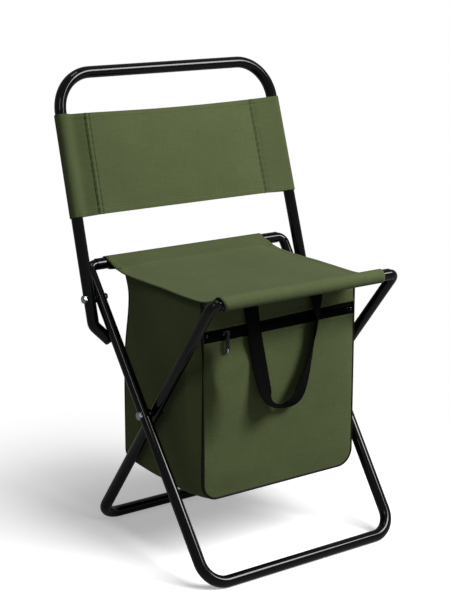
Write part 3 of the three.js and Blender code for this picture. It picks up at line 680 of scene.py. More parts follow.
def through(keys, at):
    """Value at a place on the smooth curve through (place, value) keys."""
    places = [key[0] for key in keys]
    i = min(max(bisect.bisect(places, at) - 1, 0), len(keys) - 2)
    (x0, y0), (x1, y1) = keys[i], keys[i + 1]

    def slope(k):
        before, after = keys[max(k - 1, 0)], keys[min(k + 1, len(keys) - 1)]
        return (after[1] - before[1]) / (after[0] - before[0])

    t = min(max((at - x0) / (x1 - x0), 0.0), 1.0)
    reach = x1 - x0
    return (
        y0 * (1 + 2 * t) * (1 - t) ** 2
        + y1 * t * t * (3 - 2 * t)
        + reach * (slope(i) * t * (1 - t) ** 2 - slope(i + 1) * t * t * (1 - t))
    )


def steps(low, high, spacing):
    """Evenly spaced values from low to high, both included."""
    count = max(round(abs(high - low) / spacing), 1)
    return [low + (high - low) * k / count for k in range(count + 1)]


def finer(low, high, spacing, fine, near, reach):
    """Values from low to high, closer together within reach of some places."""
    values = [low]
    while values[-1] < high:
        close = any(abs(values[-1] - place) < reach for place in near)
        values.append(min(values[-1] + (fine if close else spacing), high))
    return values


def run_lengths(points):
    """How far along a line each of its points is."""
    run = [0.0]
    for a, b in zip(points, points[1:]):
        run.append(run[-1] + (b - a).length)
    return run


def cloth(name, rows, finishes, pick=None):
    """A sheet over rows of points, and its flat size in metres, measured on its middle row and column."""
    across = run_lengths(rows[len(rows) // 2])
    along = run_lengths([row[len(row) // 2] for row in rows])
    made = skin(name, [rows], finishes, uv=lambda i, j: (across[j], along[i]), pick=pick)
    return made, (across[-1] * MM, along[-1] * MM)


def bell(distance, width):
    """1 at no distance, falling away over a width."""
    return math.exp(-((distance / width) ** 2))


def dent(distance, depth=GROOVE_DEPTH):
    """The groove that a row of stitches pulls into cloth."""
    return depth * bell(distance, GROOVE_WIDTH)


def hem(from_edge, width, rise):
    """The step of a folded edge, with the groove of the stitches that hold it."""
    step = rise / (1 + math.exp((from_edge - width) / HEM_STEP))
    return step - dent(from_edge - width + HEM_ROW, GROOVE_DEPTH / 2)


def pucker(along, place, from_seam):
    """The small waves of cloth beside a seam."""
    drift = PUCKER_DRIFT * noise.noise(Vector((*place, 0)) / PUCKER_DRIFT_SPAN)
    return PUCKER * math.sin(2 * math.pi * along / PUCKER_PITCH + drift) * bell(from_seam, PUCKER_REACH)


def slack(place, depth, waves, seed):
    """Unevenness of a cloth at a place, in waves so long each way."""
    return depth * noise.noise(Vector((place[0] / waves[0], place[1] / waves[1], seed)))


def on_line(line, run, distance):
    """Point and normal so far along a line of them."""
    i = min(max(bisect.bisect(run, distance) - 1, 0), len(line) - 2)
    share = (distance - run[i]) / (run[i + 1] - run[i])
    return line[i][0].lerp(line[i + 1][0], share), line[i][1].lerp(line[i + 1][1], share).normalized()


def stitches(name, lines, body=None):
    """Sewing thread along lines of (point, normal): short bent lengths whose ends dive into the cloth."""
    grids = []
    for line in lines:
        run = run_lengths([point for point, normal in line])
        for k in range(int(run[-1] / (STITCH_LENGTH + STITCH_GAP))):
            start = k * (STITCH_LENGTH + STITCH_GAP) + STITCH_GAP / 2
            ahead = on_line(line, run, start + STITCH_LENGTH)[0] - on_line(line, run, start)[0]
            rows = []
            for share, lift, thick in STITCH_SHAPE:
                point, normal = on_line(line, run, start + share * STITCH_LENGTH)
                side = ahead.normalized().cross(normal).normalized()
                centre = point + normal * lift * THREAD_RADIUS
                radius = thick * THREAD_RADIUS
                ring = round_angles(THREAD_SIDES)
                rows.append([centre + (side * math.cos(a) + normal * math.sin(a)) * radius for a in ring])
            grids.append(rows)
    sewn = skin(name, grids, [thread_finish], ring=True, capped=True)
    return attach(sewn, body) if body else sewn


def sewn_line(surface, places):
    """Points and outward normals of a surface at (a, b) places, for a row of stitches."""
    line = []
    for a, b in places:
        point = surface(a, b)
        normal = (surface(a + PROBE, b) - point).cross(surface(a, b + PROBE) - point).normalized()
        line.append((point, normal))
    return line


def thickened(piece, thickness=CLOTH, lining=0):
    """Gives a sheet its thickness, half to each side. lining is 1 if its inner face has the second finish."""
    ply = piece.modifiers.new("ply", "SOLIDIFY")
    ply.thickness = thickness * MM
    ply.offset = 0
    ply.use_even_offset = True
    ply.material_offset = lining
    return piece


def sling_edge(x, along):
    """Height up the tubes of a place on the sling: its top edge sags between the tubes."""
    share = (along - SLING_BOTTOM) / (SLING_TOP - SLING_BOTTOM)
    return along - SLING_SAG * share * (1 - (x / BACKREST_BOLT_HALF) ** 2)


def sling_front(x, along):
    """A place on the front ply, across and up the tubes."""
    inwards = backrest_half(along) - abs(x)
    sign = 1 if x > 0 else -1
    from_seam = inwards - SLEEVE_WIDTH[sign]
    rise = through(SLING_FRONT[sign], inwards / SLEEVE_WIDTH[sign])
    rise += WELT * bell(from_seam, WELT_WIDTH)
    rise -= max(dent(from_seam - row * ROW_SPACING) for row in (-0.5, 0.5))
    rise += pucker(along, (x, along), from_seam)
    up = (along - SLING_BOTTOM) / (SLING_TOP - SLING_BOTTOM)
    rise += SLING_BELLY * (1 - (1 - up) ** 3) * (1 - up**6) * smooth(from_seam / BELLY_FROM_SEAM)
    rise += hem(min(along - SLING_BOTTOM, SLING_TOP - along), HEM_WIDTH, HEM_RISE)
    rise += slack((x, along), depth=0.8, waves=(60, 45), seed=3.0)
    return on_backrest(x, sling_edge(x, along), rise)


sleeve_seams = {
    sign: [width - ROW_SPACING / 2, width + ROW_SPACING / 2]
    for sign, width in SLEEVE_WIDTH.items()
}
sleeve_inwards = {
    sign: finer(0.0, SLING_MIDDLE, spacing=4.0, fine=0.7, near=seams, reach=3.0)
    for sign, seams in sleeve_seams.items()
}


def sling_side(sign, along):
    """Half a row of the sling: its flap from the seam behind, round the tube and over the front."""
    half = backrest_half(along)
    first_row = sleeve_seams[sign][0]
    seam = Vector((half - first_row, through(SLING_FRONT[sign], first_row / SLEEVE_WIDTH[sign]) - FLAP_DROP))
    from_axis = seam - Vector((half, 0))
    leave = math.atan2(from_axis.y, from_axis.x) + math.acos(SLEEVE_RADIUS / from_axis.length) - 2 * math.pi
    tangent = Vector((half + SLEEVE_RADIUS * math.cos(leave), SLEEVE_RADIUS * math.sin(leave)))
    section = [seam.lerp(tangent, k / SLING_FLAP) for k in range(SLING_FLAP)]
    for k in range(SLING_WRAP):
        angle = leave + (math.pi / 2 - leave) * k / SLING_WRAP
        section.append(Vector((half + SLEEVE_RADIUS * math.cos(angle), SLEEVE_RADIUS * math.sin(angle))))
    behind = [on_backrest(sign * p.x, sling_edge(p.x, along), p.y) for p in section]
    inwards = sleeve_inwards[sign] + steps(SLING_MIDDLE, half, 4.0)[1:]
    return behind + [sling_front(sign * (half - d), along) for d in inwards]


def sling_row(along):
    """One row across the sling, from the left flap's seam behind to the right flap's seam."""
    return sling_side(-1, along)[:-1] + list(reversed(sling_side(1, along)))


sling_hems = (SLING_BOTTOM + HEM_MIDDLE, SLING_TOP - HEM_MIDDLE)
sling_heights = finer(SLING_BOTTOM, SLING_TOP, spacing=2.2, fine=0.8, near=sling_hems, reach=6.0)
sling_rows = [sling_row(along) for along in sling_heights]
sleeve_columns = {
    sign: SLING_FLAP + SLING_WRAP + bisect.bisect(sleeve_inwards[sign], width)
    for sign, width in SLEEVE_WIDTH.items()
}


def sling_shaded(i, j):
    """1 on the sleeves, which take the darker copy of the cloth as painted shade, and 0 between them."""
    from_right = len(sling_rows[0]) - 2 - j
    return 1 if j < sleeve_columns[-1] or from_right < sleeve_columns[1] else 0


sling, sling_flat = cloth("backrest_sling", sling_rows, [olive_cloth, olive_painted_shade], sling_shaded)
thickened(sling)
fitted(sling, "backrest", "olive_cloth", "backrest_cloth")
sling_seams = []
for sign, seams in sleeve_seams.items():
    for inset in seams:
        heights = steps(SLING_BOTTOM + ROW_END, SLING_TOP - ROW_END, 1.0)
        sling_seams.append(sewn_line(sling_front, [(sign * (backrest_half(h) - inset), h) for h in heights]))
for edge in (SLING_BOTTOM + HEM_WIDTH - HEM_ROW, SLING_TOP - HEM_WIDTH + HEM_ROW):
    half = backrest_half(edge) - HEM_ROW_END
    left, right = (sign * (half - seams[1]) for sign, seams in sleeve_seams.items())
    sling_seams.append(sewn_line(sling_front, [(x, edge) for x in steps(left, right, 1.5)]))
sling_sewing = stitches("backrest_sewing", sling_seams, "backrest")


# Seat: one length of the same cloth with a hem down each side and a sleeve on each seat bar.
# It sags between the bars, and it is what stops the legs from opening any further.
SEAT_SAG = 14.8
SEAT_LEAVE = math.radians(24.3)
FRONT_SEAM = 14.0
FRONT_ROWS = 3.0
REAR_SEAM = 30.0
REAR_ROWS = 5.0
SIDE_HEM = 8.0
SIDE_ROW_FRONT = 4.0
SIDE_ROW_REAR = 6.0
SEAM_ROW_END = 3.0
SLEEVE_SPAN = (-138.2, 125.0)
SLEEVE_SLANT = 3.3
SLEEVE_STEPS = 28
FLAP_STEPS = 5
PANEL_SPAN = (-140.5, 129.5)
WIDENS_OVER = 14.0
PLAIN_AT_BAR = 6.0
EDGE_DROOP = 3.5
DROOP_FROM_BAR = 24.0
DROOP_FROM_EDGE = 45.0


def on_bar(bar, angle):
    """A place in side view on the cloth round a seat bar, at an angle from the rear towards the top."""
    return Vector((0, bar.y + SLEEVE_RADIUS * math.cos(angle), bar.z + SLEEVE_RADIUS * math.sin(angle)))


front_leaves = math.pi / 2 - SEAT_LEAVE
rear_leaves = math.pi / 2 + SEAT_LEAVE
seat_front = on_bar(front_bar, front_leaves)
seat_rear = on_bar(rear_bar, rear_leaves)
front_seam_y = front_bar.y + FRONT_SEAM
rear_seam_y = rear_bar.y - REAR_SEAM
seat_seams = [front_seam_y - FRONT_ROWS / 2, front_seam_y + FRONT_ROWS / 2]
seat_seams += [rear_seam_y - REAR_ROWS / 2, rear_seam_y + REAR_ROWS / 2]


def seat_height(y):
    """Height of the middle of the seat cloth between the bars."""
    share = (y - seat_front.y) / (seat_rear.y - seat_front.y)
    return seat_front.z + (seat_rear.z - seat_front.z) * share - SEAT_SAG * (1 - (2 * share - 1) ** 4)


def from_bars(y):
    """How far a place on the seat is from the nearer of the lines where it leaves the bars."""
    return min(y - seat_front.y, seat_rear.y - y)


def from_side(x):
    """How far a place on the seat is from its nearer side edge."""
    return min(x - PANEL_SPAN[0], PANEL_SPAN[1] - x)


def seat_droop(x, y):
    """How far the seat's free side edges hang down beside the bars."""
    loose = max(from_bars(y) / DROOP_FROM_BAR, 0.0)
    return EDGE_DROOP * loose * math.exp(1 - loose) * (1 - smooth(from_side(x) / DROOP_FROM_EDGE))


def seat_top(x, y):
    """A place on the seat's panel, with its seams, hems and slight unevenness."""
    rise = -max(dent(y - seam) for seam in seat_seams)
    rise += pucker(x, (x, y), min(abs(y - front_seam_y), abs(y - rear_seam_y)))
    rise += hem(from_side(x), SIDE_HEM, HEM_RISE)
    rise += slack((x, y), depth=0.9, waves=(70, 55), seed=7.0)
    return Vector((x, y, seat_height(y) - seat_droop(x, y) + rise * smooth(from_bars(y) / PLAIN_AT_BAR)))


def under_bar(bar, seam, way):
    """Angle at which the flap from a seam meets the cloth round a bar, from below."""
    from_axis = seam - bar
    return math.atan2(from_axis.z, from_axis.y) + way * math.acos(SLEEVE_RADIUS / from_axis.length)


def sleeve(bar, seam_y, way, turns, leaves):
    """Places in side view on a sleeve: its flap from the seam to the bar, and then round the bar."""
    seam = Vector((0, seam_y, seat_height(seam_y) - FLAP_DROP))
    under = under_bar(bar, seam, way) + turns * 2 * math.pi
    flap = [seam.lerp(on_bar(bar, under), k / FLAP_STEPS) for k in range(FLAP_STEPS)]
    return flap + [on_bar(bar, under + (leaves - under) * k / SLEEVE_STEPS) for k in range(SLEEVE_STEPS)]


hem_share = SIDE_HEM / (PANEL_SPAN[1] - PANEL_SPAN[0])
seat_columns = finer(0.0, 1.0, spacing=0.018, fine=0.003, near=[hem_share, 1 - hem_share], reach=0.015)
seat_depths = finer(seat_front.y, seat_rear.y, spacing=4.0, fine=0.8, near=seat_seams, reach=3.0)
front_sleeve = sleeve(front_bar, front_seam_y, -1, 1, front_leaves)
rear_sleeve = sleeve(rear_bar, rear_seam_y, 1, 0, rear_leaves)


def sleeve_row(point, bar):
    """One row along a sleeve, whose left end is cut on a slant from the top of the bar to below it."""
    left = SLEEVE_SPAN[0] - SLEEVE_SLANT * (point.z - bar.z) / SLEEVE_RADIUS
    return [Vector((left + (SLEEVE_SPAN[1] - left) * u, point.y, point.z)) for u in seat_columns]


panel_x = [PANEL_SPAN[0] + (PANEL_SPAN[1] - PANEL_SPAN[0]) * u for u in seat_columns]
sleeve_x = [point.x for point in sleeve_row(seat_front, front_bar)]
seat_rows = [sleeve_row(p, front_bar) for p in front_sleeve]
for y in seat_depths:
    spread = smooth(from_bars(y) / WIDENS_OVER)
    seat_rows.append([seat_top(a + (b - a) * spread, y) for a, b in zip(sleeve_x, panel_x)])
seat_rows += [sleeve_row(p, rear_bar) for p in reversed(rear_sleeve)]
rear_strip = len(front_sleeve) + bisect.bisect(seat_depths, rear_seam_y)


def seat_shaded(i, j):
    """1 on the rear sleeve, which takes the darker copy of the cloth as painted shade, and 0 before it."""
    return 1 if i >= rear_strip else 0


seat, seat_flat = cloth("seat_sling", seat_rows, [olive_cloth, olive_painted_shade], seat_shaded)
thickened(seat)
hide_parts("seat_cloth", "seat_front_sleeve")
seat_lines = []
for y in seat_seams:
    across = steps(SLEEVE_SPAN[0] + SEAM_ROW_END, SLEEVE_SPAN[1] - SEAM_ROW_END, 1.0)
    seat_lines.append(sewn_line(seat_top, [(x, y) for x in across]))
for x in (PANEL_SPAN[0] + SIDE_HEM - HEM_ROW, PANEL_SPAN[1] - SIDE_HEM + HEM_ROW):
    along = steps(front_seam_y + SIDE_ROW_FRONT, rear_seam_y - SIDE_ROW_REAR, 1.5)
    seat_lines.append(sewn_line(seat_top, [(x, y) for y in along]))
seat_sewing = stitches("seat_sewing", seat_lines)
for piece in (seat, seat_sewing):
    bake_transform(piece)


# Cooler bag: a front and a back panel sewn to one long gusset that goes down the left side, under the bag
# and up the right side, with a black corded piping in both seams. It hangs from the seat, and foil-faced foam
# lines it. The left edge of the front is pushed in below the zip: PUSHED_HEIGHTS gives the share of PUSHED_IN
# by height, and PUSHED_WIDTHS how far across the front it reaches.
BAG_CORNER = 24.0
PIPING_RADIUS = 2.0
PIPING_SIDES = 12
FOAM = 3.4
LID_FOAM = 2.4
SIDE_SWELL = 4.0
BOTTOM_SWELL = 3.0
SWELL = [(0, 0), (0.06, 0.45), (0.15, 0.82), (0.3, 1.0), (0.6, 0.75), (0.85, 0.35), (1, 0)]
SWELL_BELOW_SEAT = 24.0
SWELL_WAVES = (50, 40, 70)
BOLT_ROOM = 14.0
WAIST = 9.0
WAIST_HEIGHT = 340.0
WAIST_ABOVE = 34.0
WAIST_BELOW = 58.0
PANEL_INSET = 2.6
LINING_INSET = 3.6
EDGE_FOLD = 7.0
PUSHED_IN = Vector((15.5, 18.0, 0.0))
PUSHED_BACK_X = 26.0
PUSHED_BACK_Y = 42.0
PUSHED_HEIGHTS = [(150, 0), (180, 0.3), (225, 0.6), (262, 0.9), (284, 0.95), (298, 0.7), (308, 0.3), (316, 0)]
PUSHED_WIDTHS = [
    (140, 12), (170, 22), (226, 27), (245, 22), (258, 16), (270, 17), (283, 25), (296, 33), (316, 38),
]
SIDE_STEPS = 40
CORNER_STEPS = 10
FLOOR_STEPS = 48
QUARTER = math.pi / 2
bag_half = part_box("bag_gusset")[1].x / MM
bag_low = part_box("bag_gusset")[0].z / MM
gusset_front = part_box("bag_gusset")[0].y / MM
gusset_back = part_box("bag_gusset")[1].y / MM
bag_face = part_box("bag_front_panel")[0].y / MM
bag_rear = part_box("bag_back_panel")[1].y / MM
zip_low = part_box("zip_tape_lower")[0].z / MM
zip_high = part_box("zip_tape_upper")[1].z / MM

# Black piping: bias-cut cotton over a cord, with a soft dull surface.
piping_cloth, tree, shader = principled("black_piping_cloth", "080907", 0.5, Specular_IOR_Level=0.2)
grained(tree, shader, width=1.5, detail=2.0, depth=0.1)

# Foil-faced foam: aluminised film on polyethylene foam, bright with small crinkles.
CRINKLE = 9.0
foil_foam, tree, shader = principled("foil_faced_foam", "c4c7c9", 0.35, Metallic=0.9)
where = add(tree, "TexCoord").outputs["Object"]
crinkles = add(tree, "TexVoronoi", {"Vector": where, "Scale": 1 / (CRINKLE * MM)}, feature="SMOOTH_F1")
bumped(tree, shader, crinkles.outputs["Distance"], 0.6)

wall_stops = [("side", -1, 1 - k / SIDE_STEPS) for k in range(SIDE_STEPS)]
wall_stops += [("corner", -1, QUARTER * (1 - k / CORNER_STEPS)) for k in range(CORNER_STEPS)]
wall_stops += [("floor", 0, 2 * k / FLOOR_STEPS - 1) for k in range(FLOOR_STEPS)]
wall_stops += [("corner", 1, QUARTER * k / CORNER_STEPS) for k in range(CORNER_STEPS)]
wall_stops += [("side", 1, k / SIDE_STEPS) for k in range(SIDE_STEPS + 1)]


def wall(stop, y, inset):
    """A place on the bag's outline, so far inside it, and the way out from there."""
    kind, sign, share = stop
    half, low, corner = bag_half - inset, bag_low + inset, BAG_CORNER - inset
    if kind == "side":
        shoulder = low + corner
        top = seat_height(y) - seat_droop(sign * half, y) - CLOTH - inset
        return Vector((sign * half, y, shoulder + (top - shoulder) * share)), Vector((sign, 0, 0))
    if kind == "corner":
        out = Vector((sign * math.sin(share), 0, -math.cos(share)))
        return Vector((sign * (half - corner), y, low + corner)) + out * corner, out
    return Vector((share * (half - corner), y, low)), Vector((0, 0, -1))


def waist(z):
    """How far the bag's rear edges are pulled in under the seat."""
    return WAIST * bell(z - WAIST_HEIGHT, WAIST_ABOVE if z > WAIST_HEIGHT else WAIST_BELOW)


def pushed_in(z, by_x, by_y):
    """How far the left edge of the bag's front is pushed in below the zip, for two shares of the push."""
    depth = through(PUSHED_HEIGHTS, z)
    return Vector((PUSHED_IN.x * by_x, PUSHED_IN.y * by_y, 0)) * depth


def gusset_at(stop, y, inset):
    """A place on the gusset: it swells between its seams and clears the leg bolts."""
    point, out = wall(stop, y, inset)
    from_front = y - gusset_front
    share = from_front / (gusset_back - gusset_front)
    by_bolt = bell(math.hypot(y - pivot.y, point.z - pivot.z), BOLT_ROOM)
    swell = SIDE_SWELL * abs(out.x) + BOTTOM_SWELL * abs(out.z)
    swell += noise.noise(Vector((point.x / SWELL_WAVES[0], y / SWELL_WAVES[1], point.z / SWELL_WAVES[2])))
    swell *= 1 - (1 - smooth((seat_height(y) - point.z) / SWELL_BELOW_SEAT)) * abs(out.x)
    if out.x < 0:
        by_x, by_y = (-out.x * (1 - smooth(from_front / reach)) for reach in (PUSHED_BACK_X, PUSHED_BACK_Y))
        point += pushed_in(point.z, by_x, by_y)
    shift = through(SWELL, share) * (swell - SIDE_SWELL * by_bolt)
    return point + out * (shift - abs(out.x) * waist(point.z) * smooth(2 * share - 1))


gusset_seams = [gusset_front, gusset_back]
gusset_depths = finer(gusset_front, gusset_back, spacing=6.0, fine=1.5, near=gusset_seams, reach=8.0)
gusset_rows = [[gusset_at(stop, y, CLOTH / 2) for y in gusset_depths] for stop in wall_stops]
gusset, gusset_flat = cloth("bag_gusset_cloth", gusset_rows, [olive_cloth])
thickened(gusset)
fitted(gusset, "outer_frame", "olive_cloth", "bag_gusset")


def settled(piece):
    """Makes the thickness a part of the mesh."""
    seen = piece.evaluated_get(bpy.context.evaluated_depsgraph_get())
    piece.data = bpy.data.meshes.new_from_object(seen)
    piece.modifiers.clear()


def levelled(piece):
    """Gives a piece of the bag's front a mesh of its own."""
    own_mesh(piece)


# Foam lining: one strip stands inside the gusset, clear of both seams and of the seat, and a lid under the
# seat has cloth on top and foil below.
GUSSET_FOAM_FRONT = 6.0
GUSSET_FOAM_BACK = 4.0
GUSSET_FOAM_INSET = LINING_INSET + 1
LID_END_GAP = 2.5
LID_SIDE_GAP = 2.0
LID_BELOW_SEAT = 3.4
lining_depths = steps(gusset_front + GUSSET_FOAM_FRONT, gusset_back - GUSSET_FOAM_BACK, 8.0)
lining_rows = [[gusset_at(stop, y, GUSSET_FOAM_INSET) for y in lining_depths] for stop in wall_stops[1:-1]]
gusset_lining = skin("gusset_foam", [lining_rows], [foil_foam])
thickened(gusset_lining, FOAM)
settled(gusset_lining)
fitted(gusset_lining, "outer_frame", "foil_foam", "insulation_gusset")
lid_half = bag_half - LINING_INSET - LID_SIDE_GAP
lid_rows = []
for y in steps(bag_face + LID_END_GAP, bag_rear - LID_END_GAP, 6.0):
    under_seat = seat_height(y) - LID_BELOW_SEAT
    lid_rows.append([Vector((x, y, under_seat - seat_droop(x, y))) for x in steps(-lid_half, lid_half, 12.0)])
lid_lining = cloth("lid_foam", lid_rows, [olive_cloth, foil_foam])[0]
thickened(lid_lining, LID_FOAM, lining=1)
settled(lid_lining)
fitted(lid_lining, "outer_frame", "foil_foam", "insulation_lid")
for piece in (gusset, gusset_lining, lid_lining):
    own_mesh(piece)

for name, node, body, pulled in (
    ("front_corded_piping", "front_piping", "bag_front", 0.0),
    ("back_corded_piping", "back_piping", "outer_frame", 1.0),
):
    rows = []
    for stop in wall_stops:
        centre, out = wall(stop, middle(node).y, PIPING_RADIUS)
        centre -= out * abs(out.x) * waist(centre.z) * pulled
        if out.x < 0:
            centre += pushed_in(centre.z, -out.x, -out.x) * (1 - pulled)
        ring = [out * math.cos(a) + Vector((0, math.sin(a), 0)) for a in round_angles(PIPING_SIDES)]
        rows.append([centre + way * PIPING_RADIUS for way in ring])
    piping = closed(name, rows, piping_cloth)
    fitted(piping, body, "black_cloth", node)
    if body == "bag_front":
        levelled(piping)

# Bag panels: FRONT_HIGH and FRONT_LOW give how far the front stands out across its width, above and below the
# middle of its height. Both edges of the zip slope down a little to the left.
FRONT_HIGH = [
    (-126, 0), (-119, 2.5), (-112, 5.5), (-104, 6.5), (-85, 6.2),
    (-40, 4.6), (0, 3.8), (90, 3.4), (116, 2.2), (126, 0.2),
]
FRONT_LOW = [(-126, 0.2), (-116, 1.4), (-95, 2.2), (0, 2.4), (95, 2.2), (116, 1.4), (126, 0.2)]
FRONT_MIDDLE = 170.0
FRONT_CHANGE = 70.0
FRONT_ROUND_TOP = 46.0
FRONT_ROUND_BOTTOM = 40.0
FRONT_RIM = 20.0
FLANK_CREASE = 0.02
ZIP_LOWER_DROP = 3.3
ZIP_LOWER_REACH = 40.0
ZIP_UPPER_RISE = 4.0
ZIP_UPPER_REACH = 25.0
ZIP_EDGE_GAP = 0.2
BAND_FOLD_RISE = 0.7
BAND_DROOP_REACH = 30.0
BACK_SWELL = 2.5
BACK_ROUND = 60.0


def outline_half(z, inset):
    """Half the width of the bag's outline at a height, so far inside it."""
    corner = BAG_CORNER - inset
    drop = max(bag_low + BAG_CORNER - z, 0.0)
    return bag_half - BAG_CORNER + math.sqrt(max(corner**2 - drop**2, 0.0))


def front_edge(x, z):
    """How far a place near the front's left edge is pushed in: a flat flank with a soft crease beside it."""
    share = 1 - (x + bag_half) / through(PUSHED_WIDTHS, z)
    flank = (share + math.sqrt(share * share + FLANK_CREASE)) / 2
    return pushed_in(z, min(flank, 1) ** 2, min(flank, 1))


def sloped_zip(x):
    """0 to 1 from the bag's left edge to its right edge."""
    return smooth((x + bag_half) / (2 * bag_half))


def front_at(x, z):
    """A place on the front panel: its left edge is pushed in, and its top edge drops a little to the left."""
    from_zip = zip_low - z
    upper = smooth((z - FRONT_MIDDLE) / FRONT_CHANGE)
    bulge = through(FRONT_LOW, x) * (1 - upper) + through(FRONT_HIGH, x) * upper
    bulge *= smooth(from_zip / FRONT_ROUND_TOP) * smooth((z - bag_low) / FRONT_ROUND_BOTTOM)
    rim = min(smooth((bag_half - abs(x)) / FRONT_RIM), smooth((z - bag_low) / FRONT_RIM))
    bulge += rim * slack((x, z), depth=0.9, waves=(45, 38), seed=11.0)
    bulge += hem(from_zip, EDGE_FOLD, HEM_RISE)
    drop = ZIP_LOWER_DROP * (1 - sloped_zip(x)) * smooth(1 - from_zip / ZIP_LOWER_REACH)
    return Vector((x, bag_face + CLOTH / 2 - bulge, z - drop)) + front_edge(x, z)


def back_at(x, z):
    """A place on the back panel, which swells a little."""
    top = seat_height(bag_rear)
    z -= seat_droop(x, bag_rear) * smooth((z - top) / BACK_ROUND + 1)
    bulge = BACK_SWELL
    for from_edge in (bag_half - abs(x), z - bag_low, top - z):
        bulge *= smooth(from_edge / BACK_ROUND)
    return Vector((x, bag_rear - CLOTH / 2 + bulge, z))


def band_at(x, z):
    """A place on the band over the zip, whose lower edge is folded and sewn."""
    from_zip = z - zip_high
    rim = smooth((bag_half - abs(x)) / FRONT_RIM)
    lift = hem(from_zip, EDGE_FOLD, BAND_FOLD_RISE) + rim * slack((x, z), depth=0.7, waves=(40, 30), seed=5.0)
    rise = ZIP_UPPER_RISE * sloped_zip(x) * smooth(1 - from_zip / ZIP_UPPER_REACH)
    drop = seat_droop(x, bag_face) * smooth((z - seat_height(bag_face)) / BAND_DROOP_REACH + 1)
    return Vector((x, bag_face + CLOTH / 2 - lift, z + rise - drop))


def panel_rows(surface, heights, inset, pulled=0.0):
    """Rows of places on a panel of the bag, from its bottom edge upwards."""
    columns = finer(-1.0, 1.0, spacing=0.035, fine=0.015, near=[-1.0, 1.0], reach=0.12)
    rows = []
    for z in heights:
        half = outline_half(z, inset) - waist(z) * pulled
        rows.append([surface(u * half, z) for u in columns])
    return rows


def panel(name, rows, body, node, ply, on="seat_sling"):
    """One sheet of the bag from its rows, in a ply of some finish and thickness; the ply's slot is not used.
    Foam isn't held.
    """
    finish, slot, thickness = ply
    made, flat = cloth(name, rows, [finish])
    thickened(made, thickness)
    fitted(made, body, slot, node)
    return made


cloth_ply = (olive_cloth, "olive_cloth", CLOTH)
panel_low = bag_low + PANEL_INSET
front_top = zip_low - ZIP_EDGE_GAP
front_ends = [panel_low, zip_low - EDGE_FOLD]
front_heights = finer(panel_low, front_top, spacing=5.0, fine=1.0, near=front_ends, reach=9.0)
front_rows = panel_rows(front_at, front_heights, PANEL_INSET)
levelled(panel("bag_front_cloth", front_rows, "bag_front", "bag_front_panel", cloth_ply))
back_top = seat_height(bag_rear) - CLOTH
back_heights = finer(panel_low, back_top, spacing=6.0, fine=1.5, near=[panel_low], reach=12.0)
back_rows = panel_rows(back_at, back_heights, PANEL_INSET, pulled=1.0)
panel("bag_back_cloth", back_rows, "outer_frame", "bag_back_panel", cloth_ply)
band_low = zip_high + ZIP_EDGE_GAP
band_top = seat_height(bag_face) - CLOTH
band_heights = finer(band_low, band_top, spacing=4.0, fine=0.8, near=[zip_high + EDGE_FOLD], reach=7.0)
band_rows = panel_rows(band_at, band_heights, PANEL_INSET)
panel("bag_band_cloth", band_rows, "bag_front", "bag_zip_band", cloth_ply)

# Foam behind the panels: the front foam is cut smaller, so that it stays clear of the pushed-in edge.
FRONT_FOAM_BEHIND = 4.2
FRONT_FOAM_INSET = 5.0
FRONT_FOAM_BELOW_ZIP = 12.0
BACK_FOAM_BEFORE = 3.5
BACK_FOAM_BELOW_SEAT = 18.0
foam_ply = (foil_foam, "foil_foam", FOAM)
foam_inset = LINING_INSET + FOAM / 2
foam_low = bag_low + foam_inset


def front_foam_at(x, z):
    """A place on the foam behind the front panel."""
    return Vector((x, bag_face + FRONT_FOAM_BEHIND, z)) + front_edge(x - LINING_INSET - FRONT_FOAM_INSET, z)


def back_foam_at(x, z):
    """A place on the foam before the back panel."""
    return Vector((x, bag_rear - BACK_FOAM_BEFORE, z))


front_foam_heights = steps(foam_low, zip_low - FRONT_FOAM_BELOW_ZIP, 8.0)
front_foam_rows = panel_rows(front_foam_at, front_foam_heights, foam_inset + FRONT_FOAM_INSET)
front_foam = panel("front_foam", front_foam_rows, "bag_front", "insulation_front", foam_ply)
settled(front_foam)
levelled(front_foam)
back_foam_heights = steps(foam_low, seat_height(bag_rear) - BACK_FOAM_BELOW_SEAT, 8.0)
back_foam_rows = panel_rows(back_foam_at, back_foam_heights, foam_inset, pulled=1.0)
panel("back_foam", back_foam_rows, "outer_frame", "insulation_back", foam_ply)
bag_lines = []
for surface, z in ((front_at, zip_low - EDGE_FOLD + HEM_ROW), (band_at, zip_high + EDGE_FOLD - HEM_ROW)):
    reach = outline_half(z, PANEL_INSET) - HEM_ROW_END
    bag_lines.append(sewn_line(surface, [(x, z) for x in steps(-reach, reach, 1.0)]))
stitches("bag_sewing", bag_lines, "bag_front")


# Zip: black woven tapes sewn behind the folded edges, a coiled nylon chain between them with a metal stop at
# each end, and a die-cast slider with a bridge, from which a stamped pull hangs.
TAPE_THICKNESS = 0.6
TAPE_BEHIND = 7.0
COIL_PITCH = 1.3
COIL_SIDES = 12
COIL_TURN = ((0.0, 0.8), (0.25, 0.96), (0.5, 1.0), (0.75, 0.96))
CLIP_END = 0.75
CLIP_SIDE = 0.98
SLIDER_PLATE = 1.6
BRIDGE_WIRE = 1.2
BRIDGE_BEND = 1.2
BRIDGE_LENGTH = 7.4
BRIDGE_SIDES = 12
EDGE_ROUND = 0.35
PULL_WIDTH = 5.6
PULL_THICKNESS = 1.6
PULL_NECK = 1.6
PULL_LAP = 0.4
PULL_EYE = 1.8
PULL_BORE = 1.0
EYE_HALF = 1.5
EYE_ROUND = 0.3
EYE_SIDES = 20
TIP_STEPS = 14
KNOB = [(0, 0.6), (0.3, 1.2), (1.0, 1.6), (2.0, 1.75), (3.4, 1.75), (4.4, 1.5), (5.2, 0.9)]

# Zip tape: tightly woven polyester, dyed a dull black.
black_tape = woven_cloth("black_zip_tape", "050505", "090909", 0.12, Specular_IOR_Level=0.06)

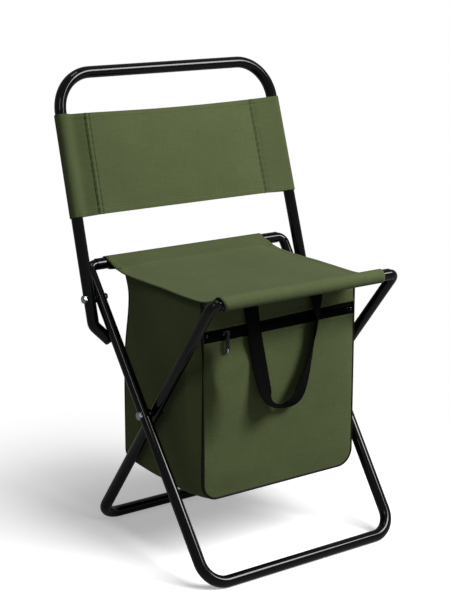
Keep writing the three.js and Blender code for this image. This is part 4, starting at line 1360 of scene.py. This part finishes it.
# Dark plated zinc: gunmetal electroplate over a casting, polished on its raised edges.
zip_plate, tree, shader = principled("gunmetal_plate", "3a3b3d", 0.25, Metallic=1.0)
patchy(tree, shader, width=3.0, detail=2.0, low=0.2, high=0.4)

# Nylon coil: dyed monofilament, a dull black.
nylon, tree, shader = principled("black_nylon_coil", "050505", 0.8, Specular_IOR_Level=0.03)
grained(tree, shader, width=0.6, detail=1.0, depth=0.02)

# Black enamel: a thin stoved coat on the pull, worn bright on the knob at its tip.
enamel, tree, shader = principled("black_pull_enamel", "0b0b0c", 0.35, Specular_IOR_Level=0.3)
grained(tree, shader, width=3.0, detail=2.0, depth=0.02)

tape_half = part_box("zip_tape_upper")[1].x / MM
tape_y = bag_face + CLOTH + TAPE_THICKNESS
tape_ply = (black_tape, "black_cloth", TAPE_THICKNESS)
for name, node, edge_of, below, above in (
    ("zip_upper_tape", "zip_tape_upper", "bag_band_cloth", 0.0, TAPE_BEHIND),
    ("zip_lower_tape", "zip_tape_lower", "bag_front_cloth", TAPE_BEHIND, 0.0),
):
    low, high = (corner.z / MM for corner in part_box(node))
    rows = []
    for z in steps(low - below, high + above, 1.0):
        rows.append([Vector((x, tape_y, z)) for x in steps(-tape_half, tape_half, 6.0)])
    panel(name, rows, "bag_front", node, tape_ply, edge_of)

chain = middle("zip_coil")
chain_low, chain_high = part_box("zip_coil")
chain_reach = (chain_high - chain_low) / 2 / MM


def chain_row(x, scale):
    """One ring round the zip's chain."""
    out, up = chain_reach.y * scale, chain_reach.z * scale
    ring = round_angles(COIL_SIDES)
    return [Vector((x, chain.y + out * math.sin(a), chain.z + up * math.cos(a))) for a in ring]


chain_rows = []
for k in range(int(2 * chain_reach.x / COIL_PITCH)):
    for share, scale in COIL_TURN:
        chain_rows.append(chain_row(-chain_reach.x + (k + share) * COIL_PITCH, scale))
fitted(closed("zip_nylon_coil", chain_rows, nylon), "bag_front", "black_plastic", "zip_coil")
for side in ("left", "right"):
    low, high = (corner.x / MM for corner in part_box(f"zip_stop_{side}"))
    clip = [chain_row(low, CLIP_END), chain_row(low + EDGE_ROUND, CLIP_SIDE)]
    clip += [chain_row(high - EDGE_ROUND, CLIP_SIDE), chain_row(high, CLIP_END)]
    fitted(closed(f"zip_end_clip_{side}", clip, zip_plate), "bag_front", "zip_metal", f"zip_stop_{side}")


def slab(outline, thickness, place):
    """Rows for a flat piece with rounded edges, from an outline of (u, v) and a place(u, v, height)."""
    count = len(outline)
    points = [Vector(p) for p in outline]
    inwards = []
    for k in range(count):
        ahead = (points[(k + 1) % count] - points[k - 1]).normalized()
        inwards.append(Vector((-ahead.y, ahead.x)))
    rows = []
    for height, inset in (
        (0.0, EDGE_ROUND),
        (EDGE_ROUND, 0.0),
        (thickness - EDGE_ROUND, 0.0),
        (thickness - EDGE_ROUND / 3, EDGE_ROUND / 3),
        (thickness, EDGE_ROUND),
    ):
        shrunk = [p + n * inset for p, n in zip(points, inwards)]
        rows.append([place(p.x, p.y, height) for p in shrunk])
    return rows


slider_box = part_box("zip_slider")
slider_middle = middle("zip_slider")
slider_half = (slider_box[1].x - slider_box[0].x) / 2 / MM
mouth = (slider_box[1].z - slider_box[0].z) / 2 / MM
slider_seat = slider_box[1].y / MM
eye = joint_place("zip_pull_swing")


def on_slider(u, v, height):
    """A place on the slider, along the zip, across it and out from its seat."""
    return Vector((slider_middle.x + u, slider_seat - height, chain.z + v))


def on_bridge(u, height, v=0.0):
    """A place on the slider's bridge, whose wire bends in the plane along the zip."""
    return on_slider(u, v, height)


slider_half_outline = [
    (-slider_half, -2.2),
    (-slider_half + 1, -2.8),
    (-slider_half / 3, -3.4),
    (slider_half / 3, -mouth),
    (slider_half - 2.2, -mouth + 0.3),
    (slider_half - 0.6, -3.3),
    (slider_half, -2.4),
]
slider_outline = slider_half_outline + [(u, -v) for u, v in reversed(slider_half_outline)]
bridge_foot = BRIDGE_LENGTH / 2 - BRIDGE_WIRE / 2
bridge_height = slider_seat - eye.y
bridge_route = [
    (-bridge_foot, SLIDER_PLATE / 2),
    (-bridge_foot, bridge_height, BRIDGE_BEND),
    (bridge_foot, bridge_height, BRIDGE_BEND),
    (bridge_foot, SLIDER_PLATE / 2),
]
plate_rows = slab(slider_outline, SLIDER_PLATE, on_slider)
fitted(closed("zip_cast_slider", plate_rows, zip_plate), "zip_slider", "zip_metal", "zip_slider")
bridge_rows = swept(bent(bridge_route), on_bridge, lambda along, angle: BRIDGE_WIRE / 2, BRIDGE_SIDES)
fitted(closed("zip_slider_bridge", bridge_rows, zip_plate), "zip_slider", "zip_metal")

pull_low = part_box("zip_pull")[0].z / MM
pull_half = PULL_WIDTH / 2
tip_round = [math.pi + math.pi * k / TIP_STEPS for k in range(TIP_STEPS + 1)]
pull_outline = [(pull_half * math.cos(a), pull_low + pull_half * (1 + math.sin(a))) for a in tip_round]
neck = [
    (pull_half, eye.z - PULL_EYE - pull_half),
    (PULL_NECK, eye.z - PULL_EYE),
    (EYE_HALF, eye.z - PULL_BORE - PULL_LAP),
]
pull_outline += neck + [(-u, z) for u, z in reversed(neck)]


def on_pull(u, z, height):
    """A place on the hanging pull, across it, at a height and out from its rear face."""
    return Vector((eye.x + u, eye.y + PULL_THICKNESS / 2 - height, z))


tab_rows = slab(pull_outline, PULL_THICKNESS, on_pull)
fitted(closed("zip_pull_tab", tab_rows, enamel), "zip_pull", "zip_metal", "zip_pull")
knob_foot = Vector((eye.x, eye.y, pull_low))
fitted(turned("zip_pull_knob", KNOB, knob_foot, Vector((0, 0, 1)), zinc), "zip_pull", "zip_metal")
eye_edge = [(EYE_HALF, PULL_BORE), (EYE_HALF, PULL_EYE - EYE_ROUND), (EYE_HALF - EYE_ROUND, PULL_EYE)]
eye_profile = [(-along, radius) for along, radius in eye_edge] + list(reversed(eye_edge))
eye_profile.append(eye_profile[0])
eye_rows = []
for along, radius in eye_profile:
    ring = [Vector((0, math.cos(a), math.sin(a))) for a in round_angles(EYE_SIDES)]
    eye_rows.append([eye + Vector((along, 0, 0)) + way * radius for way in ring])
rolled_eye = skin("zip_pull_eye", [eye_rows], [enamel], ring=True)
fitted(rolled_eye, "zip_pull", "zip_metal")


# Carry handle: 25 mm polypropylene webbing, sewn to the band at both ends and turned over once, so its loop
# twists. Each row of HANDLE is a place on its middle: across the bag, below the seam and out from the bag, in
# millimetres, and the turn of the webbing there in degrees.
WEBBING = 25.0
WEBBING_THICKNESS = 1.8
WEBBING_EDGE = 0.2
WEBBING_ROUND = 0.6
WEBBING_COLUMNS = (0.925, 0.5, 0, -0.5, -0.925)
HANDLE = [
    (-52, 0, 1.3, 37), (-50.7, 14.3, 1.4, 42), (-48.2, 34.5, 2.6, 45), (-46, 55.9, 5, 45),
    (-43.9, 71, 5.6, 42), (-41.1, 90.1, 7, 40), (-38.8, 108.9, 10, 43), (-37.9, 118, 12.5, 46),
    (-36.7, 127.2, 15, 51), (-33.6, 136.2, 17, 60), (-27.2, 143.6, 18.5, 76), (-20, 147.9, 19, 88),
    (-10.7, 148.3, 19, 109), (1.1, 147.3, 19, 117), (14.1, 142.8, 18, 125), (20.9, 134.7, 16.5, 124),
    (25.1, 128.7, 15.5, 122), (33.1, 115.5, 13, 113), (38.8, 102.9, 11.5, 105), (43.6, 90.2, 10, 100),
    (46.8, 79.7, 9.5, 96), (52.1, 61.4, 8.7, 91), (56.5, 48.5, 7.5, 95), (58.5, 30, 4.5, 115),
    (58, 0, 1.3, 143.5),
]
HANDLE_FACES = Vector((-0.577, -0.781, 0.24))
HANDLE_STEPS = 120
HANDLE_EASE = 9.0
handle_top = joint_place("handle_lift")

# Webbing: coarse woven polypropylene yarn, a flat black with a ribbed face.
webbing = woven_cloth("black_webbing", "050505", "0a0a0a", 0.3, Specular_IOR_Level=0.06)

handle_points = [Vector((x, bag_face - out, handle_top.z - drop)) for x, drop, out, turn in HANDLE]
handle_run = run_lengths(handle_points)
handle_turns = list(zip(handle_run, [math.radians(turn) for x, drop, out, turn in HANDLE]))
handle_axes = [list(zip(handle_run, [point[axis] for point in handle_points])) for axis in range(3)]


def handle_at(along):
    """Middle of the webbing, so far from its left end: a curve through its points, eased by its stiffness."""
    ease = min(HANDLE_EASE, along, handle_run[-1] - along)
    total = Vector()
    for place in (along - ease, along - ease / 2, along, along + ease / 2, along + ease):
        total += Vector([through(keys, place) for keys in handle_axes])
    return total / 5


edge = WEBBING / 2
ply = WEBBING_THICKNESS / 2
half_ring = [
    (edge - WEBBING_EDGE, -ply * WEBBING_ROUND),
    (edge, 0),
    (edge - WEBBING_EDGE, ply * WEBBING_ROUND),
    *((edge * share, ply) for share in WEBBING_COLUMNS),
]
webbing_ring = half_ring + [(-a, -b) for a, b in half_ring]
handle_stops = [handle_run[-1] * k / HANDLE_STEPS for k in range(HANDLE_STEPS + 1)]
handle_middle = [handle_at(along) for along in handle_stops]
handle_length = run_lengths(handle_middle)
handle_rows = []
for along, here in zip(handle_stops, handle_middle):
    ahead = (handle_at(min(along + 1, handle_run[-1])) - handle_at(max(along - 1, 0))).normalized()
    side = ahead.cross(HANDLE_FACES).normalized()
    turn = through(handle_turns, along)
    across = side * math.cos(turn) + side.cross(ahead) * math.sin(turn)
    face = across.cross(ahead)
    handle_rows.append([here + across * a + face * b for a, b in webbing_ring])
handle = skin(
    "webbing_handle",
    [handle_rows],
    [webbing],
    ring=True,
    capped=True,
    uv=lambda i, j: (webbing_ring[j % len(webbing_ring)][0], handle_length[i]),
)
fitted(handle, "handle", "black_cloth", "carry_handle")
